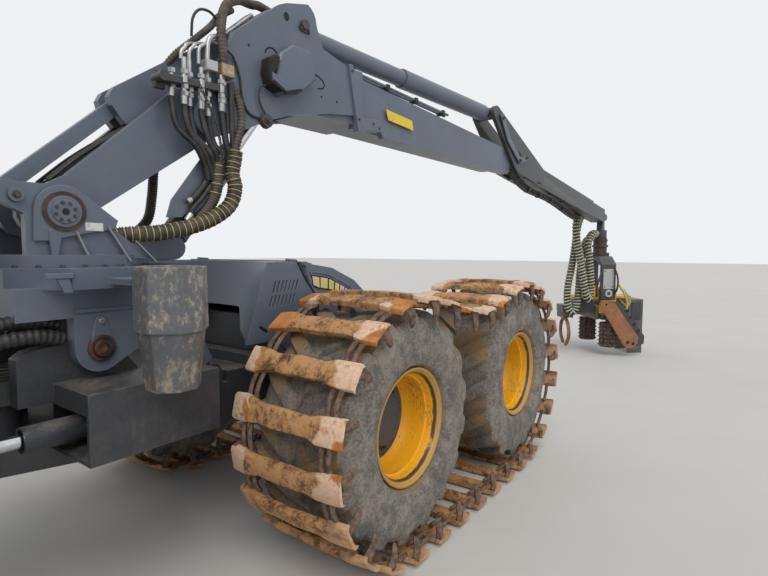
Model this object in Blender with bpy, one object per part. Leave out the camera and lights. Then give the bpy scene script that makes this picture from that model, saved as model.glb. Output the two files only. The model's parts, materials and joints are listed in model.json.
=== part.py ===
"""Forestry harvester: an articulated eight-wheel machine with a parallel crane and a harvester head.

Metres, +Z up, +X towards the front frame, +Y to the machine's left. Lengths along X are written from the
crane's slew axis, and everything then hangs on one empty that puts the origin under the middle of the box.
The crane is written in its own upright plane: u is the distance ahead of the slew axis, z the height.
"""

import math

import bmesh
import bpy
from mathutils import Matrix, Vector

# Fits
SEAT = 0.0003
PIN_GAP = 0.0006
RUN = 0.008

# Running gear
TYRE_RADIUS = 0.72
TYRE_WIDTH = 0.68
LUG_DEPTH = 0.045
LUGS = 12
LUG_SWEEP = 0.20
SHOULDER_DROP = 0.12
BEAD_FLARE = 0.10
RIM_SIDES = 24
RIM_RADIUS = 0.36
RIM_WIDTH = 0.60
TRACK_BAND = 0.030
SHOE_HEIGHT = 0.070
SHOES = 30
TRACK_WIDTH = 0.80
AXLE_SPACING = 1.70
WHEEL_Y = 1.13
HUB_RADIUS = 0.16
AXLE_RADIUS = 0.17
BOGIE_INNER = 0.46
BOGIE_OUTER = 0.70
BOGIE_HEIGHT = 0.20
FRONT_BOGIE_X = 2.19
REAR_BOGIE_X = -2.56
FRONT_WHEEL_Z = TYRE_RADIUS + TRACK_BAND + SHOE_HEIGHT
REAR_WHEEL_Z = TYRE_RADIUS

# Frames
FRAME_HALF = 0.38
FRAME_LOW = 0.80
FRAME_TOP = 1.12
FRONT_NOSE_X = 3.55
REAR_END_X = -4.55
JOINT_X = -0.36
FORK_RADIUS = 0.19
FORK_PLATE = 0.13
TONGUE_LOW = 0.93
TONGUE_TOP = 1.13

# Crane
REST_SLEW = math.radians(-4.4)
TILT_Z = 1.40
DECK_LOW = 1.70
DECK_TOP = 1.80
DECK_CORNERS = ((0.555, 0.24), (0.24, 0.555), (-0.165, 0.555), (-0.36, 0.33))
BASE_PIN = Vector((-0.11, 0, 2.07))
TIE_PIN = Vector((-0.30, 0, 2.14))
ARM_PIN = Vector((0.80, 0, 2.70))
TAIL_PIN = Vector((0.33, 0, 2.72))
LIFT_FOOT = Vector((0.60, 0, 1.90))
LIFT_EYE = Vector((1.40, 0, 2.98))
LUFF_FOOT = Vector((1.55, 0, 3.54))
JIB_PIN = Vector((5.20, 0, 3.00))
LUFF_EYE = Vector((4.62, 0, 3.52))
TIP_PIN = Vector((8.95, 0, 2.50))
LIFT_BORE = 0.085
LUFF_BORE = 0.065
ARM_INNER = 0.125
ARM_OUTER = 0.19
ELBOW_HALF = 0.24
ELBOW_PLATE = ELBOW_HALF - ARM_OUTER - PIN_GAP
BOOM_HALF = 0.13
JIB_HALF = 0.13
JIB_DEEP = 0.13

# Head, along its own feed axis
HEAD_YAW = math.radians(-50)
HEAD_TILT_Z = 1.12
HEAD_REACH = 0.66
ROTATOR_Z = 2.13

# Cab and engine
CAB_FRONT_X = -1.00
CAB_REAR_X = -2.45
CAB_HALF = 0.74
CAB_LOW = 1.50
CAB_TOP = 3.55
CAB_WALL = 0.05
HOOD_FRONT_X = -2.58
HOOD_REAR_X = -4.42
HOOD_TOP = 2.35
RAIL_TOP = 1.46
HOOD_HALF = 0.72
SHEET = 0.02

# Colours: base colour, roughness, metallic
FINISHES = {
    "crane_grey": ((0.15, 0.16, 0.18), 0.45, 0.0),
    "frame_grey": ((0.09, 0.10, 0.11), 0.55, 0.0),
    "rim_yellow": ((0.75, 0.48, 0.06), 0.50, 0.0),
    "head_yellow": ((0.72, 0.50, 0.05), 0.50, 0.0),
    "tyre_rubber": ((0.06, 0.06, 0.06), 0.90, 0.0),
    "track_steel": ((0.34, 0.19, 0.11), 0.75, 0.6),
    "worn_steel": ((0.30, 0.22, 0.17), 0.60, 0.7),
    "rod_chrome": ((0.80, 0.80, 0.80), 0.12, 1.0),
    "shroud_plastic": ((0.13, 0.13, 0.14), 0.70, 0.0),
    "cab_paint": ((0.16, 0.17, 0.18), 0.40, 0.0),
    "window_glass": ((0.10, 0.13, 0.14), 0.05, 0.0),
    "seat_fabric": ((0.08, 0.08, 0.09), 0.90, 0.0),
    "engine_block": ((0.22, 0.22, 0.22), 0.70, 0.3),
}


# Solid shapes

def shape_of(bm, name="shape"):
    """A closed bmesh becomes an object whose faces point outwards."""
    bmesh.ops.remove_doubles(bm, verts=bm.verts, dist=1e-6)
    bmesh.ops.recalc_face_normals(bm, faces=bm.faces)
    mesh = bpy.data.meshes.new(name)
    bm.to_mesh(mesh)
    bm.free()
    shape = bpy.data.objects.new(name, mesh)
    bpy.context.scene.collection.objects.link(shape)
    return shape


def prism(outline, low, high, along="y"):
    """An outline drawn in the plane across one axis, extruded from low to high along that axis."""
    place = {
        "x": lambda a, b, c: (c, a, b),
        "y": lambda a, b, c: (a, c, b),
        "z": lambda a, b, c: (a, b, c),
    }[along]
    bm = bmesh.new()
    ends = [[bm.verts.new(place(a, b, level)) for a, b in outline] for level in (low, high)]
    for ring in ends:
        bm.faces.new(ring)
    count = len(outline)
    for index in range(count):
        after = (index + 1) % count
        bm.faces.new((ends[0][index], ends[0][after], ends[1][after], ends[1][index]))
    return shape_of(bm)


def box(x_low, x_high, y_low, y_high, z_low, z_high):
    return prism([(x_low, y_low), (x_high, y_low), (x_high, y_high), (x_low, y_high)], z_low, z_high, "z")


def arc(centre, radius, start, end, steps):
    """Points on an arc, angles in degrees."""
    angles = [math.radians(start + (end - start) * step / steps) for step in range(steps + 1)]
    return [(centre[0] + radius * math.cos(a), centre[1] + radius * math.sin(a)) for a in angles]


def strap_outline(first, second, r_first, r_second, steps=8):
    """The outline round two discs, as on a link, lug or crank arm."""
    along = math.atan2(second[1] - first[1], second[0] - first[0])
    length = math.hypot(second[0] - first[0], second[1] - first[1])
    lean = math.degrees(math.asin((r_first - r_second) / length))
    turn = math.degrees(along)
    round_second = arc(second, r_second, turn - 90 + lean, turn + 90 - lean, steps)
    round_first = arc(first, r_first, turn + 90 - lean, turn + 270 + lean, steps)
    return round_second + round_first


def strap(first, second, r_first, r_second, low, high, steps=8):
    """A plate round two pins, from low to high across the crane's plane."""
    ends = [(point[0], point[2]) for point in (first, second)]
    return prism(strap_outline(ends[0], ends[1], r_first, r_second, steps), low, high)


def rod(start, end, radius, sides=12, end_radius=None):
    """A round bar, or a cone, between two points."""
    start = Vector(start)
    end = Vector(end)
    bm = bmesh.new()
    turn = (end - start).to_track_quat("Z", "Y").to_matrix().to_4x4()
    bmesh.ops.create_cone(
        bm,
        cap_ends=True,
        segments=sides,
        radius1=radius,
        radius2=radius if end_radius is None else end_radius,
        depth=(end - start).length,
        matrix=Matrix.Translation((start + end) / 2) @ turn,
    )
    return shape_of(bm)


def turned(profile, centre, sides):
    """A closed profile of (distance along Y, radius), turned about the Y axis through centre."""
    bm = bmesh.new()
    rings = []
    for step in range(sides):
        angle = 2 * math.pi * step / sides
        ring = [
            bm.verts.new((centre[0] + r * math.cos(angle), centre[1] + y, centre[2] + r * math.sin(angle)))
            for y, r in profile
        ]
        rings.append(ring)
    count = len(profile)
    for step in range(sides):
        here = rings[step]
        there = rings[(step + 1) % sides]
        for index in range(count):
            after = (index + 1) % count
            bm.faces.new((here[index], there[index], there[after], here[after]))
    return shape_of(bm)


def fuse(parts, cuts=()):
    """One solid: the union of parts, less the cuts."""
    body = parts[0]
    steps = [(part, "UNION") for part in parts[1:]] + [(cut, "DIFFERENCE") for cut in cuts]
    for other, operation in steps:
        modifier = body.modifiers.new(operation, "BOOLEAN")
        modifier.operation = operation
        modifier.solver = "EXACT"
        modifier.object = other
    graph = bpy.context.evaluated_depsgraph_get()
    mesh = bpy.data.meshes.new_from_object(body.evaluated_get(graph))
    body.modifiers.clear()
    body.data = mesh
    for other, _ in steps:
        bpy.data.objects.remove(other)
    return body


def finish(name):
    """The Principled material of one of the FINISHES."""
    if name in bpy.data.materials:
        return bpy.data.materials[name]
    colour, roughness, metallic = FINISHES[name]
    material = bpy.data.materials.new(name)
    material.use_nodes = True
    shader = material.node_tree.nodes["Principled BSDF"]
    shader.inputs["Base Color"].default_value = (*colour, 1.0)
    shader.inputs["Roughness"].default_value = roughness
    shader.inputs["Metallic"].default_value = metallic
    return material


def empty(name, place, parent=None, turn=0.0):
    """A frame to hang pieces on, on a joint's axis or at a machine's datum."""
    holder = bpy.data.objects.new(name, None)
    holder.location = place
    holder.rotation_euler = (0, 0, turn)
    holder.parent = parent
    bpy.context.scene.collection.objects.link(holder)
    return holder


def piece(name, shape, material, parent, origin=(0, 0, 0), smooth=True):
    """A finished node: its mesh moved so that its origin lies on its joint."""
    shape.name = name
    shape.data.name = name
    shape.data.transform(Matrix.Translation(-Vector(origin)))
    shape.location = origin
    shape.parent = parent
    shape.data.materials.clear()
    shape.data.materials.append(finish(material))
    if smooth:
        shape.data.shade_smooth()
        shape.data.set_sharp_from_angle(angle=math.radians(35))
    return shape


# Running gear

def bead_radius(angle):
    """The tyre's bore follows the flat-sided rim, a seat's gap outside it."""
    flat = 2 * math.pi / RIM_SIDES
    from_middle = angle % flat - flat / 2
    return (RIM_RADIUS + SEAT) * math.cos(flat / 2) / math.cos(from_middle)


def tyre(centre):
    """A tyre whose two rows of slanting lugs stand out of one turned carcass."""
    half = TYRE_WIDTH / 2
    base = TYRE_RADIUS - LUG_DEPTH
    shoulder = TYRE_RADIUS - SHOULDER_DROP
    side_low = RIM_RADIUS + BEAD_FLARE
    # Columns: place across, radius between lugs, radius on a lug, how far the lug's sweep reaches
    profile = [
        (-half * 0.80, 0.0, 0.0, 0.0),
        (-half, side_low, side_low, 0.0),
        (-half, shoulder, shoulder, 0.0),
        (-half * 0.86, base, TYRE_RADIUS, 0.14),
        (0.0, base, TYRE_RADIUS, 1.0),
        (half * 0.86, base, TYRE_RADIUS, 0.14),
        (half, shoulder, shoulder, 0.0),
        (half, side_low, side_low, 0.0),
        (half * 0.80, 0.0, 0.0, 0.0),
    ]
    stations = []
    for lug in range(LUGS):
        for share, raised in ((0.0, 0), (0.06, 1), (0.44, 1), (0.50, 0)):
            stations.append(((lug + share) / LUGS * 2 * math.pi, raised))
    bm = bmesh.new()
    rings = []
    for angle, raised in stations:
        ring = []
        for across, low, high, reach in profile:
            swept = angle + LUG_SWEEP * reach
            radius = (high if raised else low) or bead_radius(angle)
            ring.append(
                bm.verts.new(
                    (
                        centre[0] + radius * math.cos(swept),
                        centre[1] + across,
                        centre[2] + radius * math.sin(swept),
                    )
                )
            )
        rings.append(ring)
    count = len(profile)
    for step in range(len(rings)):
        here = rings[step]
        there = rings[(step + 1) % len(rings)]
        for index in range(count):
            after = (index + 1) % count
            bm.faces.new((here[index], there[index], there[after], here[after]))
    return shape_of(bm)


def plain_tyre(centre):
    """A tyre under a track, whose tread the shoes hide."""
    half = TYRE_WIDTH / 2
    bead = RIM_RADIUS + SEAT
    shoulder = TYRE_RADIUS - SHOULDER_DROP
    profile = [
        (-half * 0.80, bead),
        (-half, RIM_RADIUS + BEAD_FLARE),
        (-half, shoulder),
        (-half * 0.80, TYRE_RADIUS),
        (half * 0.80, TYRE_RADIUS),
        (half, shoulder),
        (half, RIM_RADIUS + BEAD_FLARE),
        (half * 0.80, bead),
    ]
    return turned(profile, centre, RIM_SIDES)


def rim(centre, side):
    """A dished rim. Its disc sits inwards of the outer edge and bolts to the hub's flange."""
    half = RIM_WIDTH / 2
    disc = side * half * 0.10
    wall = 0.02
    face = side * 0.5 * wall
    hub = HUB_RADIUS + SEAT
    outer = side * half
    profile = [
        (-outer, RIM_RADIUS),
        (outer, RIM_RADIUS),
        (outer, RIM_RADIUS - 0.035),
        (disc + side * 0.12, RIM_RADIUS - 0.055),
        (disc + face, hub + 0.04),
        (disc + face, hub),
        (disc - face * 3, hub),
        (disc - face * 3, hub + 0.05),
        (disc + side * 0.06, RIM_RADIUS - 0.075),
        (-outer, RIM_RADIUS - 0.03),
    ]
    return turned(profile, centre, RIM_SIDES)


def track(centre_x, side):
    """One closed loop over both tyres of a bogie, with its shoes standing out of the band."""
    inner = TYRE_RADIUS + SEAT
    band = TYRE_RADIUS + TRACK_BAND
    tip = band + SHOE_HEIGHT
    half_run = AXLE_SPACING / 2
    middle = (inner + tip) / 2
    turn_length = math.pi * middle
    length = 2 * AXLE_SPACING + 2 * turn_length

    def on_loop(distance, radius):
        """The point at a distance round the loop, counted from the top run's rear end."""
        distance %= length
        if distance < AXLE_SPACING:
            return (centre_x - half_run + distance, FRONT_WHEEL_Z + radius)
        distance -= AXLE_SPACING
        if distance < turn_length:
            angle = math.pi / 2 - distance / middle
            start = (centre_x + half_run, FRONT_WHEEL_Z)
            return (start[0] + radius * math.cos(angle), start[1] + radius * math.sin(angle))
        distance -= turn_length
        if distance < AXLE_SPACING:
            return (centre_x + half_run - distance, FRONT_WHEEL_Z - radius)
        angle = -math.pi / 2 - (distance - AXLE_SPACING) / middle
        start = (centre_x - half_run, FRONT_WHEEL_Z)
        return (start[0] + radius * math.cos(angle), start[1] + radius * math.sin(angle))

    outer_line = []
    pitch = length / SHOES
    for shoe in range(SHOES):
        for share, radius in ((0.0, band), (0.05, tip), (0.48, tip), (0.53, band)):
            outer_line.append(on_loop((shoe + share) * pitch, radius))
    step = length / (2 * SHOES)
    clear_of_tyre = inner / math.cos(step / middle / 2)
    inner_line = [on_loop(share * step, clear_of_tyre) for share in range(2 * SHOES)]
    low = side * WHEEL_Y - TRACK_WIDTH / 2
    high = side * WHEEL_Y + TRACK_WIDTH / 2
    return fuse([prism(outer_line, low, high)], [prism(inner_line, low - 0.1, high + 0.1)])


def bogie(centre_x, wheel_z):
    """A cross axle with a gear case at each end and the hubs that carry the wheels."""
    rear = (centre_x - AXLE_SPACING / 2, wheel_z)
    front = (centre_x + AXLE_SPACING / 2, wheel_z)
    parts = [rod((centre_x, -BOGIE_OUTER + 0.02, wheel_z), (centre_x, BOGIE_OUTER - 0.02, wheel_z), AXLE_RADIUS)]
    hub_end = WHEEL_Y + 0.10
    for side in (-1, 1):
        low, high = sorted((side * BOGIE_INNER, side * BOGIE_OUTER))
        parts.append(prism(strap_outline(rear, front, BOGIE_HEIGHT, BOGIE_HEIGHT, 10), low, high))
        for x, z in (rear, front):
            parts.append(rod((x, side * (BOGIE_OUTER - 0.05), z), (x, side * hub_end, z), HUB_RADIUS, 24))
    return fuse(parts)


def wheels_of(name, centre_x, wheel_z, parent, tyre_maker):
    """Four tyres and four rims, each centred on its own axle."""
    # Columns: name of the place, side, place along X
    for place, side, x in (
        ("rear_right", -1, centre_x - AXLE_SPACING / 2),
        ("front_right", -1, centre_x + AXLE_SPACING / 2),
        ("rear_left", 1, centre_x - AXLE_SPACING / 2),
        ("front_left", 1, centre_x + AXLE_SPACING / 2),
    ):
        centre = (x, side * WHEEL_Y, wheel_z)
        piece(f"{name}_tyre_{place}", tyre_maker(centre), "tyre_rubber", parent, centre)
        piece(f"{name}_rim_{place}", rim(centre, side), "rim_yellow", parent, centre)


# Front frame and what stands on it

TOWER_INNER = 0.28
TOWER_OUTER = 0.372
EAR_OUTER = 0.45
TILT_FOOT = Vector((0.70, 0, 1.13))
TILT_POCKET = (0.60, 0.80, 1.05)
TILT_EYE = Vector((0.47, 0, 1.605))
STEER_FOOT = (0.40, 0.47)
STEER_EYE = (-0.85, 0.47)
STEER_Z = 1.04
STEER_BORE = 0.049
STEER_PIN_HALF = 0.104
STEER_EYE_HALF = 0.045
COVER_OUTER = 0.72
COVER_REAR_X = -0.19
COVER_FRONT_X = 0.49
NECK_HALF = 0.17
COVER_PLATE = 0.022
COVER_ROOF_TOP = 1.245
TOWER_REAR_X = -0.34
HOOD_CUT_LOW = 0.883
HOOD_CUT_HIGH = 1.175
HOOD_OUTER = 0.60
HOOD_LOW = 1.19
LOUVRES = 7
LOUVRE_X = 0.985
LOUVRE_Z = 1.62
LOUVRE_PITCH = 0.032
TILT_CYLINDER_Y = 0.3125
TILT_LUG_Y = 0.385
TILT_RADIUS = 0.062
TILT_BORE = 0.048
SHROUD_X = 0.135
SHROUD_Y = -0.86
SHROUD_SEAM = 1.51
SHROUD_LOW = 1.235
SHROUD_TOP = 1.81
TANK_TOP = 1.44


def front_frame():
    beam = box(COVER_FRONT_X - 0.03, FRONT_NOSE_X, -FRAME_HALF, FRAME_HALF, FRAME_LOW, FRAME_TOP)
    # Pockets in the beam's shoulders, where the tilt cylinders stand between their lugs
    pocket_rear, pocket_front, floor = TILT_POCKET
    pockets = [
        box(pocket_rear, pocket_front, *sorted((side * 0.24, side * 0.5)), floor, FRAME_TOP + 0.1)
        for side in (-1, 1)
    ]
    beam = fuse([beam], pockets)
    cover_low = STEER_Z - STEER_PIN_HALF - PIN_GAP
    cover_top = STEER_Z + STEER_PIN_HALF + PIN_GAP
    neck = box(-0.12, COVER_FRONT_X, -NECK_HALF, NECK_HALF, FRAME_LOW, cover_top + 0.01)
    fork_outline = [(0.10, -0.34)] + arc((JOINT_X, 0), FORK_RADIUS, 270, 90, 10) + [(0.10, 0.34)]
    lower = prism(fork_outline, TONGUE_LOW - RUN - FORK_PLATE, TONGUE_LOW - RUN, "z")
    upper = prism(fork_outline, TONGUE_TOP + RUN, TONGUE_TOP + RUN + FORK_PLATE, "z")
    parts = [beam, neck, lower, upper]
    # Steering cylinders' cover: a roof and a floor across the neck, open inwards and to the rear
    span = (COVER_REAR_X, COVER_FRONT_X, -COVER_OUTER, COVER_OUTER)
    parts.append(box(*span, cover_top, COVER_ROOF_TOP))
    parts.append(box(*span, cover_low - COVER_PLATE, cover_low))
    tower = [(TOWER_REAR_X, cover_top + 0.01), (0.30, cover_top + 0.01)] + arc((0, TILT_Z), 0.11, 0, 160, 8)
    tower += [(TOWER_REAR_X + 0.04, TILT_Z + 0.01), (TOWER_REAR_X, TILT_Z - 0.02)]
    for side in (-1, 1):
        low, high = sorted((side * TOWER_INNER, side * TOWER_OUTER))
        parts.append(prism(tower, low, high))
        low, high = sorted((side * (COVER_OUTER - COVER_PLATE), side * COVER_OUTER))
        parts.append(box(COVER_REAR_X, COVER_FRONT_X, low, high, cover_low - 0.01, cover_top + 0.01))
        low, high = sorted((side * NECK_HALF, side * COVER_OUTER))
        parts.append(box(COVER_FRONT_X - COVER_PLATE, COVER_FRONT_X, low, high, cover_low - 0.01, cover_top + 0.01))
        # Lugs of the tilt cylinders, on the beam
        for inner in (0.245, 0.350):
            low, high = sorted((side * inner, side * (inner + 0.03)))
            foot = TILT_FOOT
            parts.append(strap(foot, (foot.x, 0, floor - 0.02), 0.055, 0.07, low, high))
    # Front cross member with the lower nose plate
    parts.append(box(FRONT_NOSE_X - 0.16, FRONT_NOSE_X, -0.62, 0.62, 0.74, 1.02))
    # Cross rails that the hood closes on
    for x in (0.98, 2.20):
        parts.append(box(x, x + 0.10, -HOOD_OUTER, HOOD_OUTER, FRAME_TOP - 0.02, HOOD_LOW - SEAT))
    axle_notch = rod((FRONT_BOGIE_X, -0.5, FRONT_WHEEL_Z), (FRONT_BOGIE_X, 0.5, FRONT_WHEEL_Z), AXLE_RADIUS + SEAT)
    return fuse(parts, [axle_notch, cross_pin(TILT_FOOT)])


def cross_pin(place, gap=2 * PIN_GAP):
    """The pin that joins the two tilt cylinders' like halves; with a gap, its bore through their inner lugs."""
    reach = Vector((0, TILT_CYLINDER_Y, 0))
    return rod(place - reach, place + reach, 0.022 + gap, 12)


HOOD_OUTLINE = [(0.50, HOOD_LOW), (0.50, 1.81), (1.20, 1.81), (1.55, 1.76), (1.80, 1.66), (2.05, 1.47), (2.34, HOOD_LOW)]


def front_hood():
    """The louvred hood ahead of the crane: a shell with a leaning round rear wall, so that the crane's deck can turn and tilt."""
    skin = 0.015
    inner = [(0.40, 1.10), (0.40, 1.81 - skin), (1.20, 1.81 - skin), (1.54, 1.76 - skin), (1.79, 1.66 - skin),
             (2.03, 1.47 - skin), (2.32 - skin, HOOD_LOW), (2.32 - skin, 1.10)]
    outer = prism(HOOD_OUTLINE, -HOOD_OUTER, HOOD_OUTER)
    hollow = prism(inner, -HOOD_OUTER + skin, HOOD_OUTER - skin)
    low_middle = (0, 0, 1.0)
    high_middle = (0, 0, 2.0)
    round_cut = rod(low_middle, high_middle, HOOD_CUT_LOW, 48, HOOD_CUT_HIGH)
    rear_wall = rod(low_middle, high_middle, HOOD_CUT_LOW + skin, 48, HOOD_CUT_HIGH + skin)
    hollow = fuse([hollow], [rear_wall])
    # Two rows of slanting louvres through each side
    slots = []
    for row in range(2):
        for slot in range(LOUVRES):
            x = LOUVRE_X + slot * LOUVRE_PITCH - row * 0.03
            low = LOUVRE_Z - row * 0.092
            outline = [(x, low), (x + 0.013, low), (x + 0.037, low + 0.07), (x + 0.024, low + 0.07)]
            for side in (-1, 1):
                near, far = sorted((side * (HOOD_OUTER - 0.03), side * (HOOD_OUTER + 0.1)))
                slots.append(prism(outline, near, far))
    # The rear wall is open over the tilt cylinders, and the sides end above the beam behind the first rail
    half = HOOD_OUTER - 2 * skin
    opening = [(-half, 1.10), (half, 1.10), (half, 1.31), (0.36, 1.36), (0.25, 1.505), (-0.25, 1.505), (-0.36, 1.36), (-half, 1.31)]
    slots.append(prism(opening, 0.40, 1.20, "x"))
    slots.append(box(0.40, 0.95, -HOOD_OUTER - 0.1, HOOD_OUTER + 0.1, 1.10, 1.31))
    # A slanting slot low in each side
    for side in (-1, 1):
        near, far = sorted((side * (HOOD_OUTER - 0.03), side * (HOOD_OUTER + 0.1)))
        slots.append(prism([(0.868, 1.408), (0.886, 1.420), (0.955, 1.372), (0.938, 1.358)], near, far))
    return fuse([outer], [hollow, round_cut] + slots)


def cylinder_barrel(foot, eye, bore, wall, start, length, eye_radius, half):
    """A barrel with its foot eye, bored from its open end."""
    foot = Vector(foot)
    along = (Vector(eye) - foot).normalized()
    barrel = rod(foot + along * start, foot + along * length, bore + wall, 16)
    knuckle = rod(foot - Vector((0, half, 0)), foot + Vector((0, half, 0)), eye_radius, 16)
    neck = rod(foot, foot + along * (start + 0.02), eye_radius * 0.75, 12)
    hollow = rod(foot + along * (start + 0.04), foot + along * (length + 0.02), bore, 16)
    return fuse([barrel, knuckle, neck], [hollow])


def cylinder_rod(foot, eye, bore, start, eye_radius, half):
    """A rod with its piston in the bore and its eye at the far end."""
    foot = Vector(foot)
    eye = Vector(eye)
    along = (eye - foot).normalized()
    piston = rod(foot + along * (start + 0.06), foot + along * (start + 0.12), bore - PIN_GAP, 16)
    shank = rod(foot + along * (start + 0.07), eye, bore * 0.62, 16)
    knuckle = rod(eye - Vector((0, half, 0)), eye + Vector((0, half, 0)), eye_radius, 16)
    return fuse([piston, shank, knuckle])


def steering(machine):
    """Two cylinders between the front frame's covers and the rear frame's lugs."""
    for side, place in ((-1, "right"), (1, "left")):
        foot = Vector((STEER_FOOT[0], side * STEER_FOOT[1], STEER_Z))
        eye = Vector((STEER_EYE[0], side * STEER_EYE[1], STEER_Z))
        along = (eye - foot).normalized()
        length = (eye - foot).length
        shell = rod(foot + along * 0.05, foot + along * 0.77, STEER_BORE + 0.011, 16)
        stand = Vector((0, 0, STEER_PIN_HALF))
        hollow = rod(foot + along * 0.075, foot + along * 0.80, STEER_BORE, 16)
        barrel = fuse([shell, rod(foot - stand, foot + stand, 0.055, 16)], [hollow])
        piece(f"steering_barrel_{place}", barrel, "frame_grey", machine, foot)
        piston = rod(foot + along * 0.40, foot + along * 0.44, STEER_BORE - PIN_GAP, 16)
        shank = rod(foot + along * 0.42, foot + along * length, 0.032, 16)
        stand = Vector((0, 0, STEER_EYE_HALF))
        knuckle = rod(eye - stand, eye + stand, 0.06, 16)
        piece(f"steering_rod_{place}", fuse([piston, shank, knuckle]), "rod_chrome", machine, foot)


# Crane

def deck():
    """The eight-sided deck, cut short behind."""
    left = [(x, y) for x, y in DECK_CORNERS]
    right = [(x, -y) for x, y in reversed(DECK_CORNERS)]
    return prism(left + right, DECK_LOW, DECK_TOP, "z")


def housing(gap):
    """The slew drive's housing below the deck, or with a gap the room it takes."""
    return box(-0.36 - gap, 0.36 + gap, -EAR_OUTER - gap, EAR_OUTER + gap, 1.56 - gap, DECK_LOW + 0.01)


def tilt_base():
    """The yoke that tilts on the towers, its housing and the eight-sided deck."""
    parts = []
    ear = arc((0, TILT_Z), 0.12, 180, 310, 9) + [(0.17, TILT_Z - 0.04), (0.36, TILT_Z - 0.01), (0.36, 1.62), (-0.12, 1.62)]
    for side in (-1, 1):
        low, high = sorted((side * (TOWER_OUTER + PIN_GAP), side * EAR_OUTER))
        parts.append(prism(ear, low, high))
    parts.append(deck())
    parts.append(housing(0.0))
    # A lug outside each tilt rod's eye, ahead of the housing
    for side in (-1, 1):
        low, high = sorted((side * TILT_LUG_Y, side * (TILT_LUG_Y + 0.03)))
        parts.append(strap(TILT_EYE, (TILT_EYE.x - 0.14, 0, 1.66), 0.055, 0.07, low, high))
    parts.append(box(0.30, 0.50, -EAR_OUTER, EAR_OUTER, 1.665, DECK_LOW + 0.01))
    # The shelf that holds the hose shroud against the deck's edge
    parts.append(box(SHROUD_X - 0.13, SHROUD_X + 0.13, SHROUD_Y + 0.12, -0.50, DECK_LOW + 0.02, DECK_LOW + 0.05))
    return fuse(parts)


def hose_shroud():
    """An eight-sided plastic bucket in two stages beside the deck, where the hoses come through to the crane."""
    place = Vector((SHROUD_X, SHROUD_Y, 0))

    def bucket(low, top, r_low, r_top):
        stage = rod(place + Vector((0, 0, low)), place + Vector((0, 0, top)), r_low, 8, r_top)
        stage.data.transform(Matrix.Translation(place) @ Matrix.Rotation(math.pi / 8, 4, "Z") @ Matrix.Translation(-place))
        return stage

    upper = bucket(SHROUD_SEAM, SHROUD_TOP, 0.168, 0.165)
    lower = bucket(SHROUD_LOW, SHROUD_SEAM + 0.005, 0.125, 0.155)
    mouth = bucket(SHROUD_SEAM + 0.04, SHROUD_TOP + 0.1, 0.145, 0.145)
    shelf = box(SHROUD_X - 0.13 - SEAT, SHROUD_X + 0.13 + SEAT, SHROUD_Y + 0.12 - SEAT, -0.50, DECK_LOW + 0.02 - SEAT, DECK_LOW + 0.05 + SEAT)
    return fuse([upper, lower], [mouth, shelf])


def tilt_cylinders(machine):
    """Two tilt cylinders. One cross pin joins their barrels, one their rods."""
    barrels = []
    bores = []
    rods = []
    half = 0.035
    foot = TILT_FOOT
    eye = TILT_EYE
    along = (eye - foot).normalized()
    for side in (-1, 1):
        base = foot + Vector((0, side * TILT_CYLINDER_Y, 0))
        tip = eye + Vector((0, side * TILT_CYLINDER_Y, 0))
        outer = eye + Vector((0, side * (TILT_LUG_Y - PIN_GAP), 0))
        barrels.append(rod(base + along * 0.075, base + along * 0.345, TILT_RADIUS, 16))
        barrels.append(rod(base, base + along * 0.09, 0.03))
        barrels.append(rod(base - Vector((0, half, 0)), base + Vector((0, half, 0)), 0.05))
        bores.append(rod(base + along * 0.10, base + along * 0.36, TILT_BORE, 16))
        rods.append(rod(base + along * 0.21, base + along * 0.235, TILT_BORE - PIN_GAP, 16))
        rods.append(rod(base + along * 0.22, tip, 0.028))
        rods.append(rod(tip - Vector((0, side * half, 0)), outer, 0.045))
    barrels.append(cross_pin(foot, 0.0))
    rods.append(cross_pin(eye, 0.0))
    piece("tilt_cylinder_barrels", fuse(barrels, bores), "crane_grey", machine, foot)
    piece("tilt_cylinder_rods", fuse(rods), "rod_chrome", machine, foot)


PLATE_INNER = 0.30
PLATE_OUTER = 0.36
CHEEK_REAR_X = -0.24
CHEEK_FOOT_X = 0.34
CHEEK_NECK_X = 0.10


def turret():
    """The slewing part: a disc on the deck, two side plates for the arm and tie pins, and the lift foot."""
    parts = [rod((0, 0, DECK_TOP + SEAT), (0, 0, 1.86), 0.44, 24)]
    plate = [(CHEEK_REAR_X, 1.84), (CHEEK_FOOT_X, 1.84), (CHEEK_NECK_X, 2.03)]
    plate += arc((BASE_PIN.x, BASE_PIN.z), 0.125, 20, 90, 4)
    plate += arc((TIE_PIN.x, TIE_PIN.z), 0.065, 60, 200, 6)
    plate += [(CHEEK_REAR_X, 2.05)]
    for side in (-1, 1):
        low, high = sorted((side * PLATE_INNER, side * PLATE_OUTER))
        parts.append(prism(plate, low, high))
        low, high = sorted((side * (0.080 + PIN_GAP), side * 0.115))
        parts.append(strap(LIFT_FOOT, (0.30, 0, 1.88), 0.075, 0.05, low, high))
    # The lift foot's base reaches ahead of the disc
    parts.append(box(0.20, 0.66, -0.20, 0.20, DECK_TOP + 0.004, 1.823))
    return fuse(parts)


ARM_FOOT_RADIUS = 0.12
ARM_HEAD_RADIUS = 0.11
# Corners of the plate's deep upper end, along the line of the two pins and across it
ARM_CROWN = ((1.20, 0.10), (1.13, 0.19), (1.03, 0.228), (0.95, 0.221), (0.20, 0.105))


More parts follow.
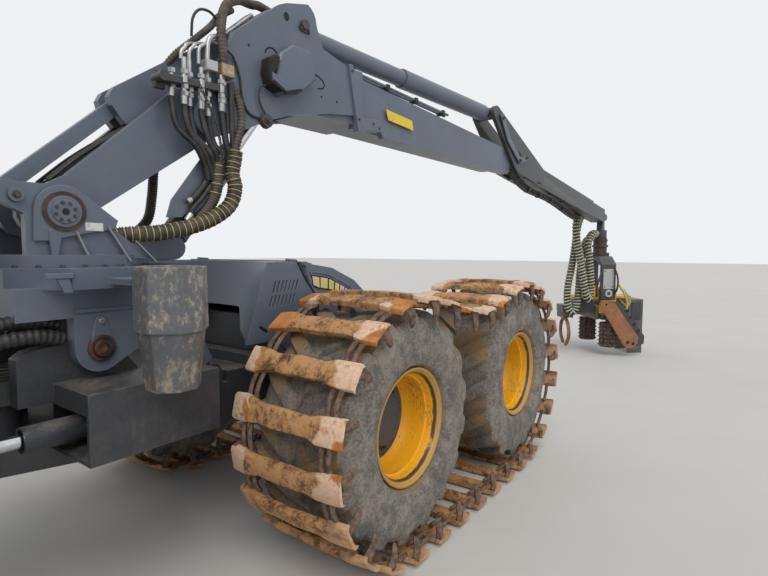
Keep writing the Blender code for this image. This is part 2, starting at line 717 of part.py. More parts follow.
def lift_arm():
    """Two side plates, a web between them and a cross tube on the base pin."""
    parts = []
    along = (ARM_PIN - BASE_PIN).normalized()
    across = Vector((-along.z, 0, along.x))
    lean = math.degrees(math.atan2(along.z, along.x))
    plate = arc((BASE_PIN.x, BASE_PIN.z), ARM_FOOT_RADIUS, lean + 90, lean + 270, 8)
    plate += arc((ARM_PIN.x, ARM_PIN.z), ARM_HEAD_RADIUS, lean - 90, lean, 5)
    for s, t in ARM_CROWN:
        corner = BASE_PIN + along * s + across * t
        plate.append((corner.x, corner.z))
    for side in (-1, 1):
        low, high = sorted((side * ARM_INNER, side * ARM_OUTER))
        parts.append(prism(plate, low, high))
    corners = []
    for s, t in ((0.16, -0.07), (0.78, -0.07), (0.78, 0.02), (0.16, 0.02)):
        corner = BASE_PIN + along * s + across * t
        corners.append((corner.x, corner.z))
    parts.append(prism(corners, -ARM_INNER - 0.02, ARM_INNER + 0.02))
    tube = PLATE_INNER - PIN_GAP
    parts.append(rod(BASE_PIN - Vector((0, tube, 0)), BASE_PIN + Vector((0, tube, 0)), 0.052, 16))
    for side in (-1, 1):
        low, high = side * (ARM_OUTER - 0.01), side * tube
        parts.append(rod(BASE_PIN + Vector((0, low, 0)), BASE_PIN + Vector((0, high, 0)), 0.10, 16))
    return fuse(parts)


def tie_rod():
    tube = PLATE_INNER - PIN_GAP
    return fuse([
        strap(TIE_PIN, TAIL_PIN, 0.040, 0.040, -0.045, 0.045),
        rod(TIE_PIN - Vector((0, tube, 0)), TIE_PIN + Vector((0, tube, 0)), 0.042, 16),
    ])


def main_boom():
    """The elbow with its side plates and tail, and the long box that tapers to the jib's pin."""
    core = [(0.98, 3.10), (0.98, 3.28), (1.25, 3.51), (1.32, 3.53), (1.46, 3.42), (1.68, 3.36), (1.86, 3.34),
            (2.20, 3.34), (2.20, 2.90), (1.60, 2.90), (1.55, 3.14), (1.24, 3.14)]
    parts = [prism(core, -ELBOW_HALF + ELBOW_PLATE / 2, ELBOW_HALF - ELBOW_PLATE / 2)]
    plate = arc((ARM_PIN.x, ARM_PIN.z), 0.12, 150, 270, 6)
    plate += [(1.06, 2.68), (1.20, 2.755), (1.45, 2.85), (1.80, 2.925), (2.07, 2.965), (2.07, 3.28), (1.98, 3.33),
              (1.74, 3.39), (1.70, 3.47)]
    plate += arc((LUFF_FOOT.x, LUFF_FOOT.z), 0.125, 0, 70, 4) + [(1.40, 3.60), (1.33, 3.565), (0.98, 3.28)]
    for side in (-1, 1):
        low, high = sorted((side * (ELBOW_HALF - ELBOW_PLATE), side * ELBOW_HALF))
        parts.append(prism(plate, low, high))
        low, high = side * (0.080 + PIN_GAP), side * (ELBOW_HALF - 0.02)
        parts.append(rod(LIFT_EYE + Vector((0, low, 0)), LIFT_EYE + Vector((0, high, 0)), 0.085, 16))
        # Ears of the luffing cylinder's foot
        low, high = sorted((side * (0.060 + PIN_GAP), side * 0.10))
        parts.append(strap(LUFF_FOOT, (1.42, 0, 3.40), 0.075, 0.10, low, high))
    tail = [(0.335, 2.60), (0.44, 2.62), (0.66, 2.80), (1.06, 3.11), (1.12, 3.20), (1.06, 3.32), (0.98, 3.28),
            (0.66, 3.07), (0.275, 2.79), (0.25, 2.74), (0.262, 2.69)]
    parts.append(prism(tail, -0.11, 0.11))
    box_outline = [(2.05, 2.90), (2.05, 3.34), (4.70, 3.15), (4.80, 3.14), (4.80, 2.87), (4.70, 2.86)]
    parts.append(prism(box_outline, -BOOM_HALF, BOOM_HALF))
    end = [(4.75, 3.13)] + arc((JIB_PIN.x, JIB_PIN.z), 0.12, 90, -90, 8) + [(4.75, 2.88)]
    parts.append(prism(end, -0.10 + PIN_GAP, 0.10 - PIN_GAP))
    along = (TIE_PIN - TAIL_PIN).normalized()
    slot_low = TAIL_PIN - along * 0.15
    slot_high = TAIL_PIN + along * 0.30
    across = Vector((-along.z, 0, along.x)) * 0.2
    slot = [slot_low + across, slot_high + across, slot_high - across, slot_low - across]
    cut = prism([(point.x, point.z) for point in slot], -0.045 - PIN_GAP, 0.045 + PIN_GAP)
    return fuse(parts, [cut])


def luff_rod():
    """The rod with the guard tube that slides over the barrel."""
    foot = LUFF_FOOT
    along = (LUFF_EYE - foot).normalized()
    reach = (LUFF_EYE - foot).length
    guard = rod(foot + along * 1.42, foot + along * (reach - 0.10), LUFF_BORE + 0.026, 16)
    room = rod(foot + along * 1.40, foot + along * (reach - 0.22), LUFF_BORE + 0.012 + PIN_GAP, 16)
    guard = fuse([guard], [room])
    inner = cylinder_rod(foot, LUFF_EYE, LUFF_BORE, 0.20, 0.07, 0.052)
    return fuse([guard, inner])


def along_jib(share, up=0.0):
    """A point on the jib's centre line, share of the way from its pin to the tip pin, raised across it."""
    along = (TIP_PIN - JIB_PIN).normalized()
    across = Vector((-along.z, 0, along.x))
    return JIB_PIN + along * share + across * up


JIB_BOX_START = 0.26
JIB_BOX_END = 2.95
TELESCOPE_END = 3.62
TELESCOPE_START = 0.75
JIB_WALL = 0.014


def slanted_box(start, end, deep, half):
    """A box along the jib's line, from start to end, deep to each side in the plane and half across it."""
    corners = [along_jib(start, -deep), along_jib(end, -deep), along_jib(end, deep), along_jib(start, deep)]
    return prism([(point.x, point.z) for point in corners], -half, half)


def jib():
    parts = [slanted_box(JIB_BOX_START, JIB_BOX_END, JIB_DEEP, JIB_HALF)]
    for side in (-1, 1):
        low, high = sorted((side * 0.10, side * 0.15))
        joint = strap(JIB_PIN, along_jib(0.55), 0.115, 0.125, low, high)
        crank = strap(JIB_PIN, LUFF_EYE, 0.11, 0.08, low, high)
        brace = strap(LUFF_EYE, along_jib(0.72, 0.02), 0.08, 0.11, low, high)
        parts += [joint, crank, brace]
        low, high = side * (0.052 + PIN_GAP), side * 0.12
        parts.append(rod(LUFF_EYE + Vector((0, low, 0)), LUFF_EYE + Vector((0, high, 0)), 0.07, 16))
    hollow = slanted_box(TELESCOPE_START - 0.05, JIB_BOX_END + 0.1, JIB_DEEP - JIB_WALL, JIB_HALF - JIB_WALL)
    return fuse(parts, [hollow])


def extension():
    room = JIB_WALL + PIN_GAP
    parts = [slanted_box(TELESCOPE_START, TELESCOPE_END, JIB_DEEP - room, JIB_HALF - room)]
    for side in (-1, 1):
        low, high = sorted((side * 0.055, side * 0.095))
        parts.append(strap(along_jib(TELESCOPE_END - 0.12), TIP_PIN, 0.085, 0.055, low, high))
    return fuse(parts)


def tip_link():
    """The free link below the tip: its head between the tip's ears, its foot on the rotator."""
    top = TIP_PIN
    foot = Vector((TIP_PIN.x, 0, ROTATOR_Z))
    return fuse([
        strap(top, foot + Vector((0, 0, 0.09)), 0.05, 0.07, -0.055 + PIN_GAP, 0.055 - PIN_GAP),
        rod(foot, foot + Vector((0, 0, 0.14)), 0.11, 16),
    ])


# Head. It is written at its own place under the tip: a along the feed axis, b across it

BODY_HALF = 0.52
HANGER_INNER = 0.30
KNIFE_PIVOT = (0.10, 0.70)
KNIFE_CENTRE_Z = 0.39
KNIFE_THICK = 0.05
KNIFE_FIRST_X = -0.62
KNIFE_PITCH = 0.08
ARM_PIVOT = (0.26, 0.70)
ROLLER_Y = 0.40
ARM_REACH = 0.14
TROUGH_RADIUS = 0.21


def rotator():
    low = ROTATOR_Z - 0.30
    return fuse([
        rod((0, 0, low), (0, 0, ROTATOR_Z - PIN_GAP), 0.12, 16),
        rod((0, 0, low - 0.04), (0, 0, low + 0.02), 0.165, 24),
    ])


def head_hanger():
    """An upturned U that hangs from the rotator and holds the head at its tilt pins."""
    top = ROTATOR_Z - 0.34 - SEAT
    outer = [(-0.36, HEAD_TILT_Z - 0.12), (-0.36, top - 0.14), (-0.20, top), (0.20, top), (0.36, top - 0.14),
             (0.36, HEAD_TILT_Z - 0.12), (0.30, HEAD_TILT_Z - 0.12), (0.30, top - 0.18), (0.16, top - 0.08),
             (-0.16, top - 0.08), (-0.30, top - 0.18), (-0.30, HEAD_TILT_Z - 0.12)]
    return prism(outer, -0.14, 0.14, "x")


def head_body():
    """The frame with the gear housing, lugs for arms and knives, and the saw box at the butt end."""
    half = HANGER_INNER - PIN_GAP
    parts = [
        box(-BODY_HALF, BODY_HALF, -0.20, 0.20, 0.72, 1.06),
        rod((0, -half, HEAD_TILT_Z), (0, half, HEAD_TILT_Z), 0.10, 16),
        box(-0.22, 0.22, -0.24, 0.24, 0.95, 1.20),
        box(BODY_HALF - 0.05, BODY_HALF + 0.22, -0.24, 0.24, 0.0, 1.00),
        box(-BODY_HALF - 0.22, -BODY_HALF + 0.02, -0.15, 0.15, 0.76, 0.89),
    ]
    for side in (-1, 1):
        low, high = sorted((side * (ARM_REACH + PIN_GAP), side * (ARM_REACH + 0.05)))
        parts.append(box(low, high, -0.32, 0.32, 0.64, 0.90))
    for slot in range(3):
        near = KNIFE_FIRST_X + KNIFE_THICK + PIN_GAP - slot * KNIFE_PITCH
        parts.append(box(near, near + KNIFE_PITCH - KNIFE_THICK - 2 * PIN_GAP, -0.15, 0.15, 0.65, 0.80))
    end = (BODY_HALF - 0.2, BODY_HALF + 0.4)
    throat = rod((end[0], 0, 0.30), (end[1], 0, 0.30), TROUGH_RADIUS, 24)
    mouth = box(*end, -TROUGH_RADIUS, TROUGH_RADIUS, -0.1, 0.30)
    return fuse(parts, [throat, mouth])


def roller_arm(side):
    """An arm that swings about the feed axis and carries a roller under its end."""
    low, high = sorted((side * (ROLLER_Y - 0.055), side * (ROLLER_Y + 0.055)))
    pivot = (side * ARM_PIVOT[0], ARM_PIVOT[1])
    knee = (side * (ROLLER_Y + 0.02), ARM_PIVOT[1])
    plate = prism(strap_outline(pivot, knee, 0.05, 0.045, 6), -ARM_REACH, ARM_REACH, "x")
    return fuse([plate, box(-ARM_REACH, ARM_REACH, low, high, 0.65, 0.72)])


def feed_roller(side):
    """A spiked drum hanging on an upright shaft under its arm."""
    centre = (0.0, side * ROLLER_Y)
    spikes = 10
    outline = []
    for spike in range(spikes):
        for share, radius in ((0.0, 0.115), (0.25, 0.15), (0.5, 0.115)):
            angle = 2 * math.pi * (spike + share) / spikes
            outline.append((centre[0] + radius * math.cos(angle), centre[1] + radius * math.sin(angle)))
    drum = prism(outline, 0.16, 0.60, "z")
    return fuse([drum, rod((*centre, 0.58), (*centre, 0.65 - PIN_GAP), 0.05, 16)])


def knife(side):
    """A curved delimbing knife, hinged between the lugs at the top end of the head."""
    centre = (0.0, KNIFE_CENTRE_Z)
    start = 90 - side * 18
    finish_angle = 90 - side * 150
    outer = arc(centre, 0.30, start, finish_angle, 10)
    inner = arc(centre, 0.255, finish_angle, start, 10)
    x_low = KNIFE_FIRST_X if side > 0 else KNIFE_FIRST_X - KNIFE_PITCH
    blade = prism(outer + inner, x_low, x_low + KNIFE_THICK, "x")
    pivot = (side * KNIFE_PIVOT[0], KNIFE_PIVOT[1])
    knuckle = rod((x_low, *pivot), (x_low + KNIFE_THICK, *pivot), 0.045, 16)
    return fuse([blade, knuckle])


# Rear frame, cab and engine

def rear_frame():
    tongue = [(-0.90, -0.15)] + arc((JOINT_X, 0), 0.15, -90, 90, 10) + [(-0.90, 0.15)]
    parts = [
        box(REAR_END_X, -0.82, -FRAME_HALF, FRAME_HALF, FRAME_LOW, FRAME_TOP),
        prism(tongue, TONGUE_LOW, TONGUE_TOP, "z"),
    ]
    for side in (-1, 1):
        pin = (STEER_EYE[0], side * STEER_EYE[1])
        near = STEER_EYE_HALF + PIN_GAP
        for low, high in ((STEER_Z - near - 0.045, STEER_Z - near), (STEER_Z + near, STEER_Z + near + 0.045)):
            parts.append(prism(strap_outline(pin, (pin[0] - 0.20, side * 0.33), 0.068, 0.08), low, high, "z"))
    # Cab's levelling base and the engine's side rails
    parts.append(box(CAB_REAR_X + 0.1, CAB_FRONT_X - 0.1, -0.45, 0.45, FRAME_TOP - 0.02, CAB_LOW - SEAT))
    parts.append(box(REAR_END_X, REAR_END_X + 0.12, -0.78, 0.78, 0.70, RAIL_TOP - 0.02))
    parts.append(box(REAR_END_X + 0.02, HOOD_FRONT_X, -HOOD_HALF, HOOD_HALF, 1.10, RAIL_TOP))
    # Catwalk beside the door
    parts.append(box(CAB_REAR_X, CAB_FRONT_X + 0.05, -1.14, -0.40, CAB_LOW - 0.028, CAB_LOW - SEAT))
    axle_notch = rod((REAR_BOGIE_X, -0.5, REAR_WHEEL_Z), (REAR_BOGIE_X, 0.5, REAR_WHEEL_Z), AXLE_RADIUS + SEAT)
    return fuse(parts, [axle_notch])


def cab_outline(shrink):
    """The cab's side view: a leaning windscreen and a flat roof."""
    return [
        (CAB_REAR_X + shrink, CAB_LOW + shrink),
        (CAB_FRONT_X - 0.12 - shrink, CAB_LOW + shrink),
        (CAB_FRONT_X - shrink, CAB_LOW + 0.75),
        (CAB_FRONT_X - 0.15 - shrink, CAB_TOP - shrink),
        (CAB_REAR_X + shrink, CAB_TOP - shrink),
    ]


LAMP_PLACES = (-0.60, -0.36, -0.12, 0.12, 0.36, 0.60)
DOOR_FRONT_X = -1.20
DOOR_REAR_X = -2.10
DOOR_LOW = CAB_LOW + 0.06
DOOR_TOP = CAB_TOP - 0.18


def cab_shell():
    outer = prism(cab_outline(0.0), -CAB_HALF, CAB_HALF)
    inner = prism(cab_outline(CAB_WALL), -CAB_HALF + CAB_WALL, CAB_HALF - CAB_WALL)
    windscreen = box(CAB_FRONT_X - 0.4, CAB_FRONT_X + 0.2, -CAB_HALF + 0.10, CAB_HALF - 0.10, CAB_LOW + 0.45, CAB_TOP - 0.22)
    rear = box(CAB_REAR_X - 0.1, CAB_REAR_X + 0.2, -CAB_HALF + 0.12, CAB_HALF - 0.12, CAB_LOW + 0.80, CAB_TOP - 0.25)
    left = box(CAB_REAR_X + 0.14, CAB_FRONT_X - 0.28, CAB_HALF - 0.2, CAB_HALF + 0.1, CAB_LOW + 0.55, CAB_TOP - 0.25)
    door = box(DOOR_REAR_X, DOOR_FRONT_X, -CAB_HALF - 0.1, -CAB_HALF + 0.2, DOOR_LOW, DOOR_TOP)
    # Work lamps under the roof's front edge
    front = CAB_FRONT_X - 0.12
    lamps = [box(front - 0.06, front + 0.06, y - 0.07, y + 0.07, CAB_TOP - 0.17, CAB_TOP - 0.06) for y in LAMP_PLACES]
    return fuse([outer] + lamps, [inner, windscreen, rear, left, door])


def cab_door():
    """A door as thick as the wall, with its window cut."""
    gap = 0.006
    slab = box(DOOR_REAR_X + gap, DOOR_FRONT_X - gap, -CAB_HALF, -CAB_HALF + CAB_WALL, DOOR_LOW + gap, DOOR_TOP - gap)
    window = box(DOOR_REAR_X + 0.08, DOOR_FRONT_X - 0.08, -CAB_HALF - 0.1, -CAB_HALF + 0.1, DOOR_LOW + 0.40, DOOR_TOP - 0.09)
    return fuse([slab], [window])


def cab_glass():
    """Front, left and rear panes in one band just inside the walls."""
    pane = 0.008
    place = CAB_WALL + SEAT
    low, high = CAB_LOW + 0.40, CAB_TOP - 0.15
    outer = prism(cab_outline(place), -CAB_HALF + place, CAB_HALF - place)
    inner = prism(cab_outline(place + pane), -CAB_HALF + place + pane, CAB_HALF - place - pane)
    below = box(CAB_REAR_X - 0.2, CAB_FRONT_X + 0.2, -1, 1, CAB_LOW - 0.2, low)
    above = box(CAB_REAR_X - 0.2, CAB_FRONT_X + 0.2, -1, 1, high, CAB_TOP + 0.2)
    right = box(CAB_REAR_X + 0.10, CAB_FRONT_X - 0.24, -1, -CAB_HALF + 0.15, CAB_LOW, CAB_TOP)
    return fuse([outer], [inner, below, above, right])


def cab_seat():
    """Pedestal, cushion and back in one soft solid, standing on the cab's floor."""
    floor = CAB_LOW + CAB_WALL + SEAT
    return fuse([
        box(-1.98, -1.62, -0.18, 0.18, floor, floor + 0.36),
        box(-2.06, -1.54, -0.27, 0.27, floor + 0.34, floor + 0.50),
        prism([(-2.10, floor + 0.42), (-1.98, floor + 0.42), (-2.12, floor + 1.18), (-2.24, floor + 1.18)], -0.25, 0.25),
    ])


EXHAUST_X = -2.80


def engine_hood():
    """A hollow hood over the engine, hinged behind."""
    outer = prism(
        [(HOOD_REAR_X, RAIL_TOP + SEAT), (HOOD_FRONT_X, RAIL_TOP + SEAT), (HOOD_FRONT_X, HOOD_TOP), (HOOD_REAR_X + 0.35, HOOD_TOP),
         (HOOD_REAR_X, HOOD_TOP - 0.30)], -HOOD_HALF, HOOD_HALF)
    inner = prism(
        [(HOOD_REAR_X + SHEET, 1.40), (HOOD_FRONT_X - SHEET, 1.40), (HOOD_FRONT_X - SHEET, HOOD_TOP - SHEET),
         (HOOD_REAR_X + 0.36, HOOD_TOP - SHEET), (HOOD_REAR_X + SHEET, HOOD_TOP - 0.31)],
        -HOOD_HALF + SHEET, HOOD_HALF - SHEET)
    # Side grilles of long slots, rear grille, and the exhaust through the roof
    slots = []
    for row in range(6):
        low = 1.70 + row * 0.075
        slots.append(box(-3.55, -2.85, -HOOD_HALF - 0.1, HOOD_HALF + 0.1, low, low + 0.03))
        low = 1.56 + row * 0.075
        slots.append(box(HOOD_REAR_X - 0.1, HOOD_REAR_X + 0.1, -0.45, 0.45, low, low + 0.03))
    exhaust = rod((EXHAUST_X, -0.45, HOOD_TOP - 0.01), (EXHAUST_X, -0.45, HOOD_TOP + 0.42), 0.06, 16)
    return fuse([outer, exhaust], [inner] + slots)


# Assembly

def build():
    for old in list(bpy.data.objects):
        bpy.data.objects.remove(old)
    front_reach = TIP_PIN.x * math.cos(REST_SLEW) + HEAD_REACH
    machine = empty("machine", (-(front_reach + REAR_END_X) / 2, 0, 0))
    crane = empty("crane_plane", (0, 0, 0), machine, REST_SLEW)
    head = empty("head_frame", (TIP_PIN.x, 0, 0), crane, HEAD_YAW - REST_SLEW)

    piece("front_frame", front_frame(), "frame_grey", machine)
    piece("front_hood", front_hood(), "crane_grey", machine, (2.34, 0, 1.19))
    tank = box(1.10, 1.94, -0.46, 0.46, FRAME_TOP + SEAT, TANK_TOP)
    piece("hydraulic_tank", tank, "frame_grey", machine, smooth=False)
    piece("front_bogie", bogie(FRONT_BOGIE_X, FRONT_WHEEL_Z), "frame_grey", machine)
    wheels_of("front", FRONT_BOGIE_X, FRONT_WHEEL_Z, machine, plain_tyre)
    for side, place in ((-1, "right"), (1, "left")):
        piece(f"track_{place}", track(FRONT_BOGIE_X, side), "track_steel", machine)
    steering(machine)

    piece("tilt_base", tilt_base(), "crane_grey", machine, (0, 0, TILT_Z))
    piece("hose_shroud", hose_shroud(), "shroud_plastic", machine, (0, 0, TILT_Z))
    tilt_cylinders(machine)

    piece("turret", turret(), "crane_grey", crane)
    piece("lift_arm", lift_arm(), "crane_grey", crane, BASE_PIN)
    piece("tie_rod", tie_rod(), "crane_grey", crane, TIE_PIN)
    lift = cylinder_barrel(LIFT_FOOT, LIFT_EYE, LIFT_BORE - 0.012, 0.012, 0.10, 0.82, 0.075, 0.080)
    piece("lift_cylinder_barrel", lift, "crane_grey", crane, LIFT_FOOT)
    lift = cylinder_rod(LIFT_FOOT, LIFT_EYE, LIFT_BORE - 0.012, 0.36, 0.075, 0.080)
    piece("lift_cylinder_rod", lift, "rod_chrome", crane, LIFT_FOOT)
    piece("main_boom", main_boom(), "crane_grey", crane, ARM_PIN)
    luff = cylinder_barrel(LUFF_FOOT, LUFF_EYE, LUFF_BORE, 0.012, 0.10, 1.72, 0.06, 0.060)
    piece("luff_cylinder_barrel", luff, "crane_grey", crane, LUFF_FOOT)
    piece("luff_cylinder_rod", luff_rod(), "crane_grey", crane, LUFF_FOOT)
    piece("jib", jib(), "crane_grey", crane, JIB_PIN)
    piece("telescope", extension(), "crane_grey", crane, JIB_PIN)
    piece("tip_link", tip_link(), "crane_grey", crane, TIP_PIN)

    piece("rotator", rotator(), "worn_steel", head)
    piece("head_hanger", head_hanger(), "frame_grey", head)
    piece("head_body", head_body(), "head_yellow", head, (0, 0, HEAD_TILT_Z))
    for side, place in ((-1, "right"), (1, "left")):
        piece(f"roller_arm_{place}", roller_arm(side), "frame_grey", head, (0, side * ARM_PIVOT[0], ARM_PIVOT[1]))
        piece(f"feed_roller_{place}", feed_roller(side), "worn_steel", head, (0, side * ROLLER_Y, 0.4))
        piece(f"delimbing_knife_{place}", knife(side), "worn_steel", head, (0, side * KNIFE_PIVOT[0], KNIFE_PIVOT[1]))

    piece("rear_frame", rear_frame(), "frame_grey", machine, (JOINT_X, 0, 1.0))
    piece("rear_bogie", bogie(REAR_BOGIE_X, REAR_WHEEL_Z), "frame_grey", machine)
    wheels_of("rear", REAR_BOGIE_X, REAR_WHEEL_Z, machine, tyre)
    piece("cab_shell", cab_shell(), "cab_paint", machine)
    piece("cab_door", cab_door(), "cab_paint", machine, (DOOR_REAR_X, -CAB_HALF, DOOR_LOW))
    piece("cab_glass", cab_glass(), "window_glass", machine)
    piece("cab_seat", cab_seat(), "seat_fabric", machine)
    piece("engine_hood", engine_hood(), "crane_grey", machine, (HOOD_REAR_X, 0, RAIL_TOP))
    block = box(-4.1, -3.0, -0.42, 0.42, RAIL_TOP + SEAT, 2.10)
    piece("engine_block", block, "engine_block", machine, smooth=False)


build()
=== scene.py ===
"""A forestry harvester: tracked front bogie, tilting crane, telescopic jib and harvester head.

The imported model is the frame. Each section dresses one group of its pieces, in the order in which the
machine goes together. Lengths are metres; the machine's own X is counted from the crane's slew axis.
"""

import json
import math

import bmesh
import bpy
import numpy as np
from mathutils import Matrix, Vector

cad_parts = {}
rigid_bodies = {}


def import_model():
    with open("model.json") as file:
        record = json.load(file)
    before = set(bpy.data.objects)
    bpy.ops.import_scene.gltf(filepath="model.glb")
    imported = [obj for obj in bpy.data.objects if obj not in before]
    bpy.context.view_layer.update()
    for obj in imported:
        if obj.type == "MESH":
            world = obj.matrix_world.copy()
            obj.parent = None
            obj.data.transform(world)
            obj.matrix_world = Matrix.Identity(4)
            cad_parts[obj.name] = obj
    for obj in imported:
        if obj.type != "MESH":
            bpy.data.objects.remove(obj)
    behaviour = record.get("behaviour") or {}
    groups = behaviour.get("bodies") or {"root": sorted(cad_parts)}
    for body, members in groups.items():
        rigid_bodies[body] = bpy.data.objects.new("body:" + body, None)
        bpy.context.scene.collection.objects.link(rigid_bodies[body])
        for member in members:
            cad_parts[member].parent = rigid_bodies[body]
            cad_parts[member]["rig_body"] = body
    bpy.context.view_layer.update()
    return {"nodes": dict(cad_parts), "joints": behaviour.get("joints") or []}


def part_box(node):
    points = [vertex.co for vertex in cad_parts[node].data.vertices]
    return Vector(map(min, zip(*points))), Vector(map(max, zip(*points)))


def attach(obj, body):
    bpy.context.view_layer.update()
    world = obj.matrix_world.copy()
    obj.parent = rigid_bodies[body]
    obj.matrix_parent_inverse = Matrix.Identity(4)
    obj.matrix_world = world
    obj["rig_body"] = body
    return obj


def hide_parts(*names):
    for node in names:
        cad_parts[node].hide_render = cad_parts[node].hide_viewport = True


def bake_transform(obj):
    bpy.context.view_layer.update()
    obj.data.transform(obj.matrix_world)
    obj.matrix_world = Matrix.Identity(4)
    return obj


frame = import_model()
pins = {joint["name"]: np.array(joint.get("pos_m") or (0, 0, 0)) for joint in frame["joints"]}
link_object = bpy.context.scene.collection.objects.link


# Camera: a phone's wide lens at a person's eye height, close to the right-hand side of the crane's foot.
# Its place and turn come from the fit to both front rims, as seen from the slew axis.

SLEW_X = pins["crane_slew"][0]
EYE = (-1.211 + SLEW_X, -3.07, 1.885)
AHEAD = np.array((0.8066, 0.5866, -0.0731))
RIGHTWARDS = np.array((0.5882, -0.8088, 0.0024))

lens = bpy.data.cameras.new("camera")
lens.lens = 24.0
lens.sensor_width = 36.0
lens.clip_end = 400.0
camera = bpy.data.objects.new("camera", lens)
link_object(camera)
ahead = AHEAD / np.linalg.norm(AHEAD)
rightwards = RIGHTWARDS - ahead * (RIGHTWARDS @ ahead)
rightwards /= np.linalg.norm(rightwards)
turn = np.eye(4)
turn[:3, 0] = rightwards
turn[:3, 1] = np.cross(rightwards, ahead)
turn[:3, 2] = -ahead
turn[:3, 3] = EYE
camera.matrix_world = Matrix(turn.tolist())
bpy.context.scene.camera = camera


# Shader sockets: what every finish below is written with. A Value joins sockets by Python's operators,
# and a Finish makes any other node by its one method.

class Value:
    """A shader socket on which Python's operators add Math nodes."""

    def __init__(self, finish, socket):
        self.finish = finish
        self.socket = socket

    def math(self, operation, first, second=0.0):
        return self.finish.node("ShaderNodeMath", {"operation": operation}, {0: first, 1: second})

    def __add__(self, other):
        return self.math("ADD", self, other)

    def __sub__(self, other):
        return self.math("SUBTRACT", self, other)

    def __rsub__(self, other):
        return self.math("SUBTRACT", other, self)

    def __mul__(self, other):
        return self.math("MULTIPLY", self, other)

    def __or__(self, other):
        return self.math("MAXIMUM", self, other)

    __radd__ = __add__
    __rmul__ = __mul__

    def step(self, low, high):
        """0 below low, 1 above high, a smooth S between."""
        settings = {"interpolation_type": "SMOOTHSTEP", "clamp": True}
        return self.finish.node("ShaderNodeMapRange", settings, {0: self, 1: low, 2: high})


class Finish:
    """A Principled material whose patterns follow the piece's own Object coordinates."""

    def __init__(self, name, slot, **plain):
        self.material = bpy.data.materials.new(name)
        self.material.use_nodes = True
        self.tree = self.material.node_tree
        self.shader = self.tree.nodes["Principled BSDF"]
        for socket, value in plain.items():
            self.shader.inputs[socket.replace("_", " ")].default_value = value
        self.place = self.node("ShaderNodeTexCoord", output="Object")

    def node(self, kind, settings=None, sockets=None, output=0):
        """A node of that kind: its settings first, then the values or links of its sockets."""
        made = self.tree.nodes.new(kind)
        for key, value in (settings or {}).items():
            setattr(made, key, value)
        for key, value in (sockets or {}).items():
            if isinstance(value, Value):
                self.tree.links.new(value.socket, made.inputs[key])
            else:
                made.inputs[key].default_value = value
        return Value(self, made.outputs[output])

    def noise(self, scale, detail=4.0, roughness=0.6, stretch=None):
        """Fractal noise of that many features a metre, drawn out along an axis by stretch."""
        place = self.place
        if stretch:
            place = self.node("ShaderNodeMapping", None, {"Vector": place, "Scale": stretch})
        sockets = {"Vector": place, "Scale": scale, "Detail": detail, "Roughness": roughness}
        return self.node("ShaderNodeTexNoise", None, sockets)

    def dot(self, first, second):
        settings = {"operation": "DOT_PRODUCT"}
        return self.node("ShaderNodeVectorMath", settings, {0: first, 1: second}, output="Value")

    def part_of(self, vector, axis):
        """One component of a vector, X, Y or Z."""
        return self.node("ShaderNodeSeparateXYZ", None, {0: vector}, output=axis)

    def facing(self, axis="Z"):
        """How far the surface looks along an axis of its own piece, from -1 to 1."""
        return self.part_of(self.node("ShaderNodeTexCoord", output="Normal"), axis)

    def from_wheel(self):
        """Distance to the middle plane of the wheels on the nearer side."""
        offset = self.part_of(self.place, "Y")
        return offset.math("ABSOLUTE", offset.math("ABSOLUTE", offset) - WHEEL_Y)

    def mix(self, share, first, second):
        """The first colour where share is 0, the second where it is 1."""
        first = first if isinstance(first, Value) else (*first, 1.0)
        second = second if isinstance(second, Value) else (*second, 1.0)
        sockets = {0: share, 6: first, 7: second}
        return self.node("ShaderNodeMix", {"data_type": "RGBA", "clamp_factor": True}, sockets, output=2)

    def done(self, colour, roughness=None, height=None, depth=0.002, strength=0.6):
        """Links the finished colour, roughness and bump into the shader."""
        for name, value in (("Base Color", colour), ("Roughness", roughness)):
            if isinstance(value, Value):
                self.tree.links.new(value.socket, self.shader.inputs[name])
        if height is not None:
            bump = self.node("ShaderNodeBump", None,
                {"Strength": strength, "Distance": depth, "Height": height})
            self.tree.links.new(bump.socket, self.shader.inputs["Normal"])
        return self.material


def two_tone(name, slot, noise, band, first, second, depth, **plain):
    """One colour turning into another where a noise crosses a band, with a bump of that depth."""
    made = Finish(name, slot, **plain)
    film = made.noise(*noise)
    return made.done(made.mix(film.step(*band), first, second), height=film, depth=depth)


# Ground and light: an overcast sky, as in the photograph, over a plain pale floor. The sky lights evenly,
# a wide soft sun gives the direction, and camera, mirror and window rays see a near-white backdrop.

FLOOR_HALF = 90.0
SKY_LIGHT = 0.62
SUN = 1.35

ground = bpy.data.meshes.new("floor")
corners = [(x * FLOOR_HALF, y * FLOOR_HALF, 0) for x, y in ((-1, -1), (1, -1), (1, 1), (-1, 1))]
ground.from_pydata(corners, [], [(0, 1, 2, 3)])
floor = bpy.data.objects.new("floor", ground)
link_object(floor)
pale = Finish("pale_floor", "ground", Roughness=0.85)
shade = pale.noise(0.8, 3.0)
ground.materials.append(pale.done(pale.mix(shade, (0.60, 0.585, 0.56), (0.68, 0.665, 0.64))))

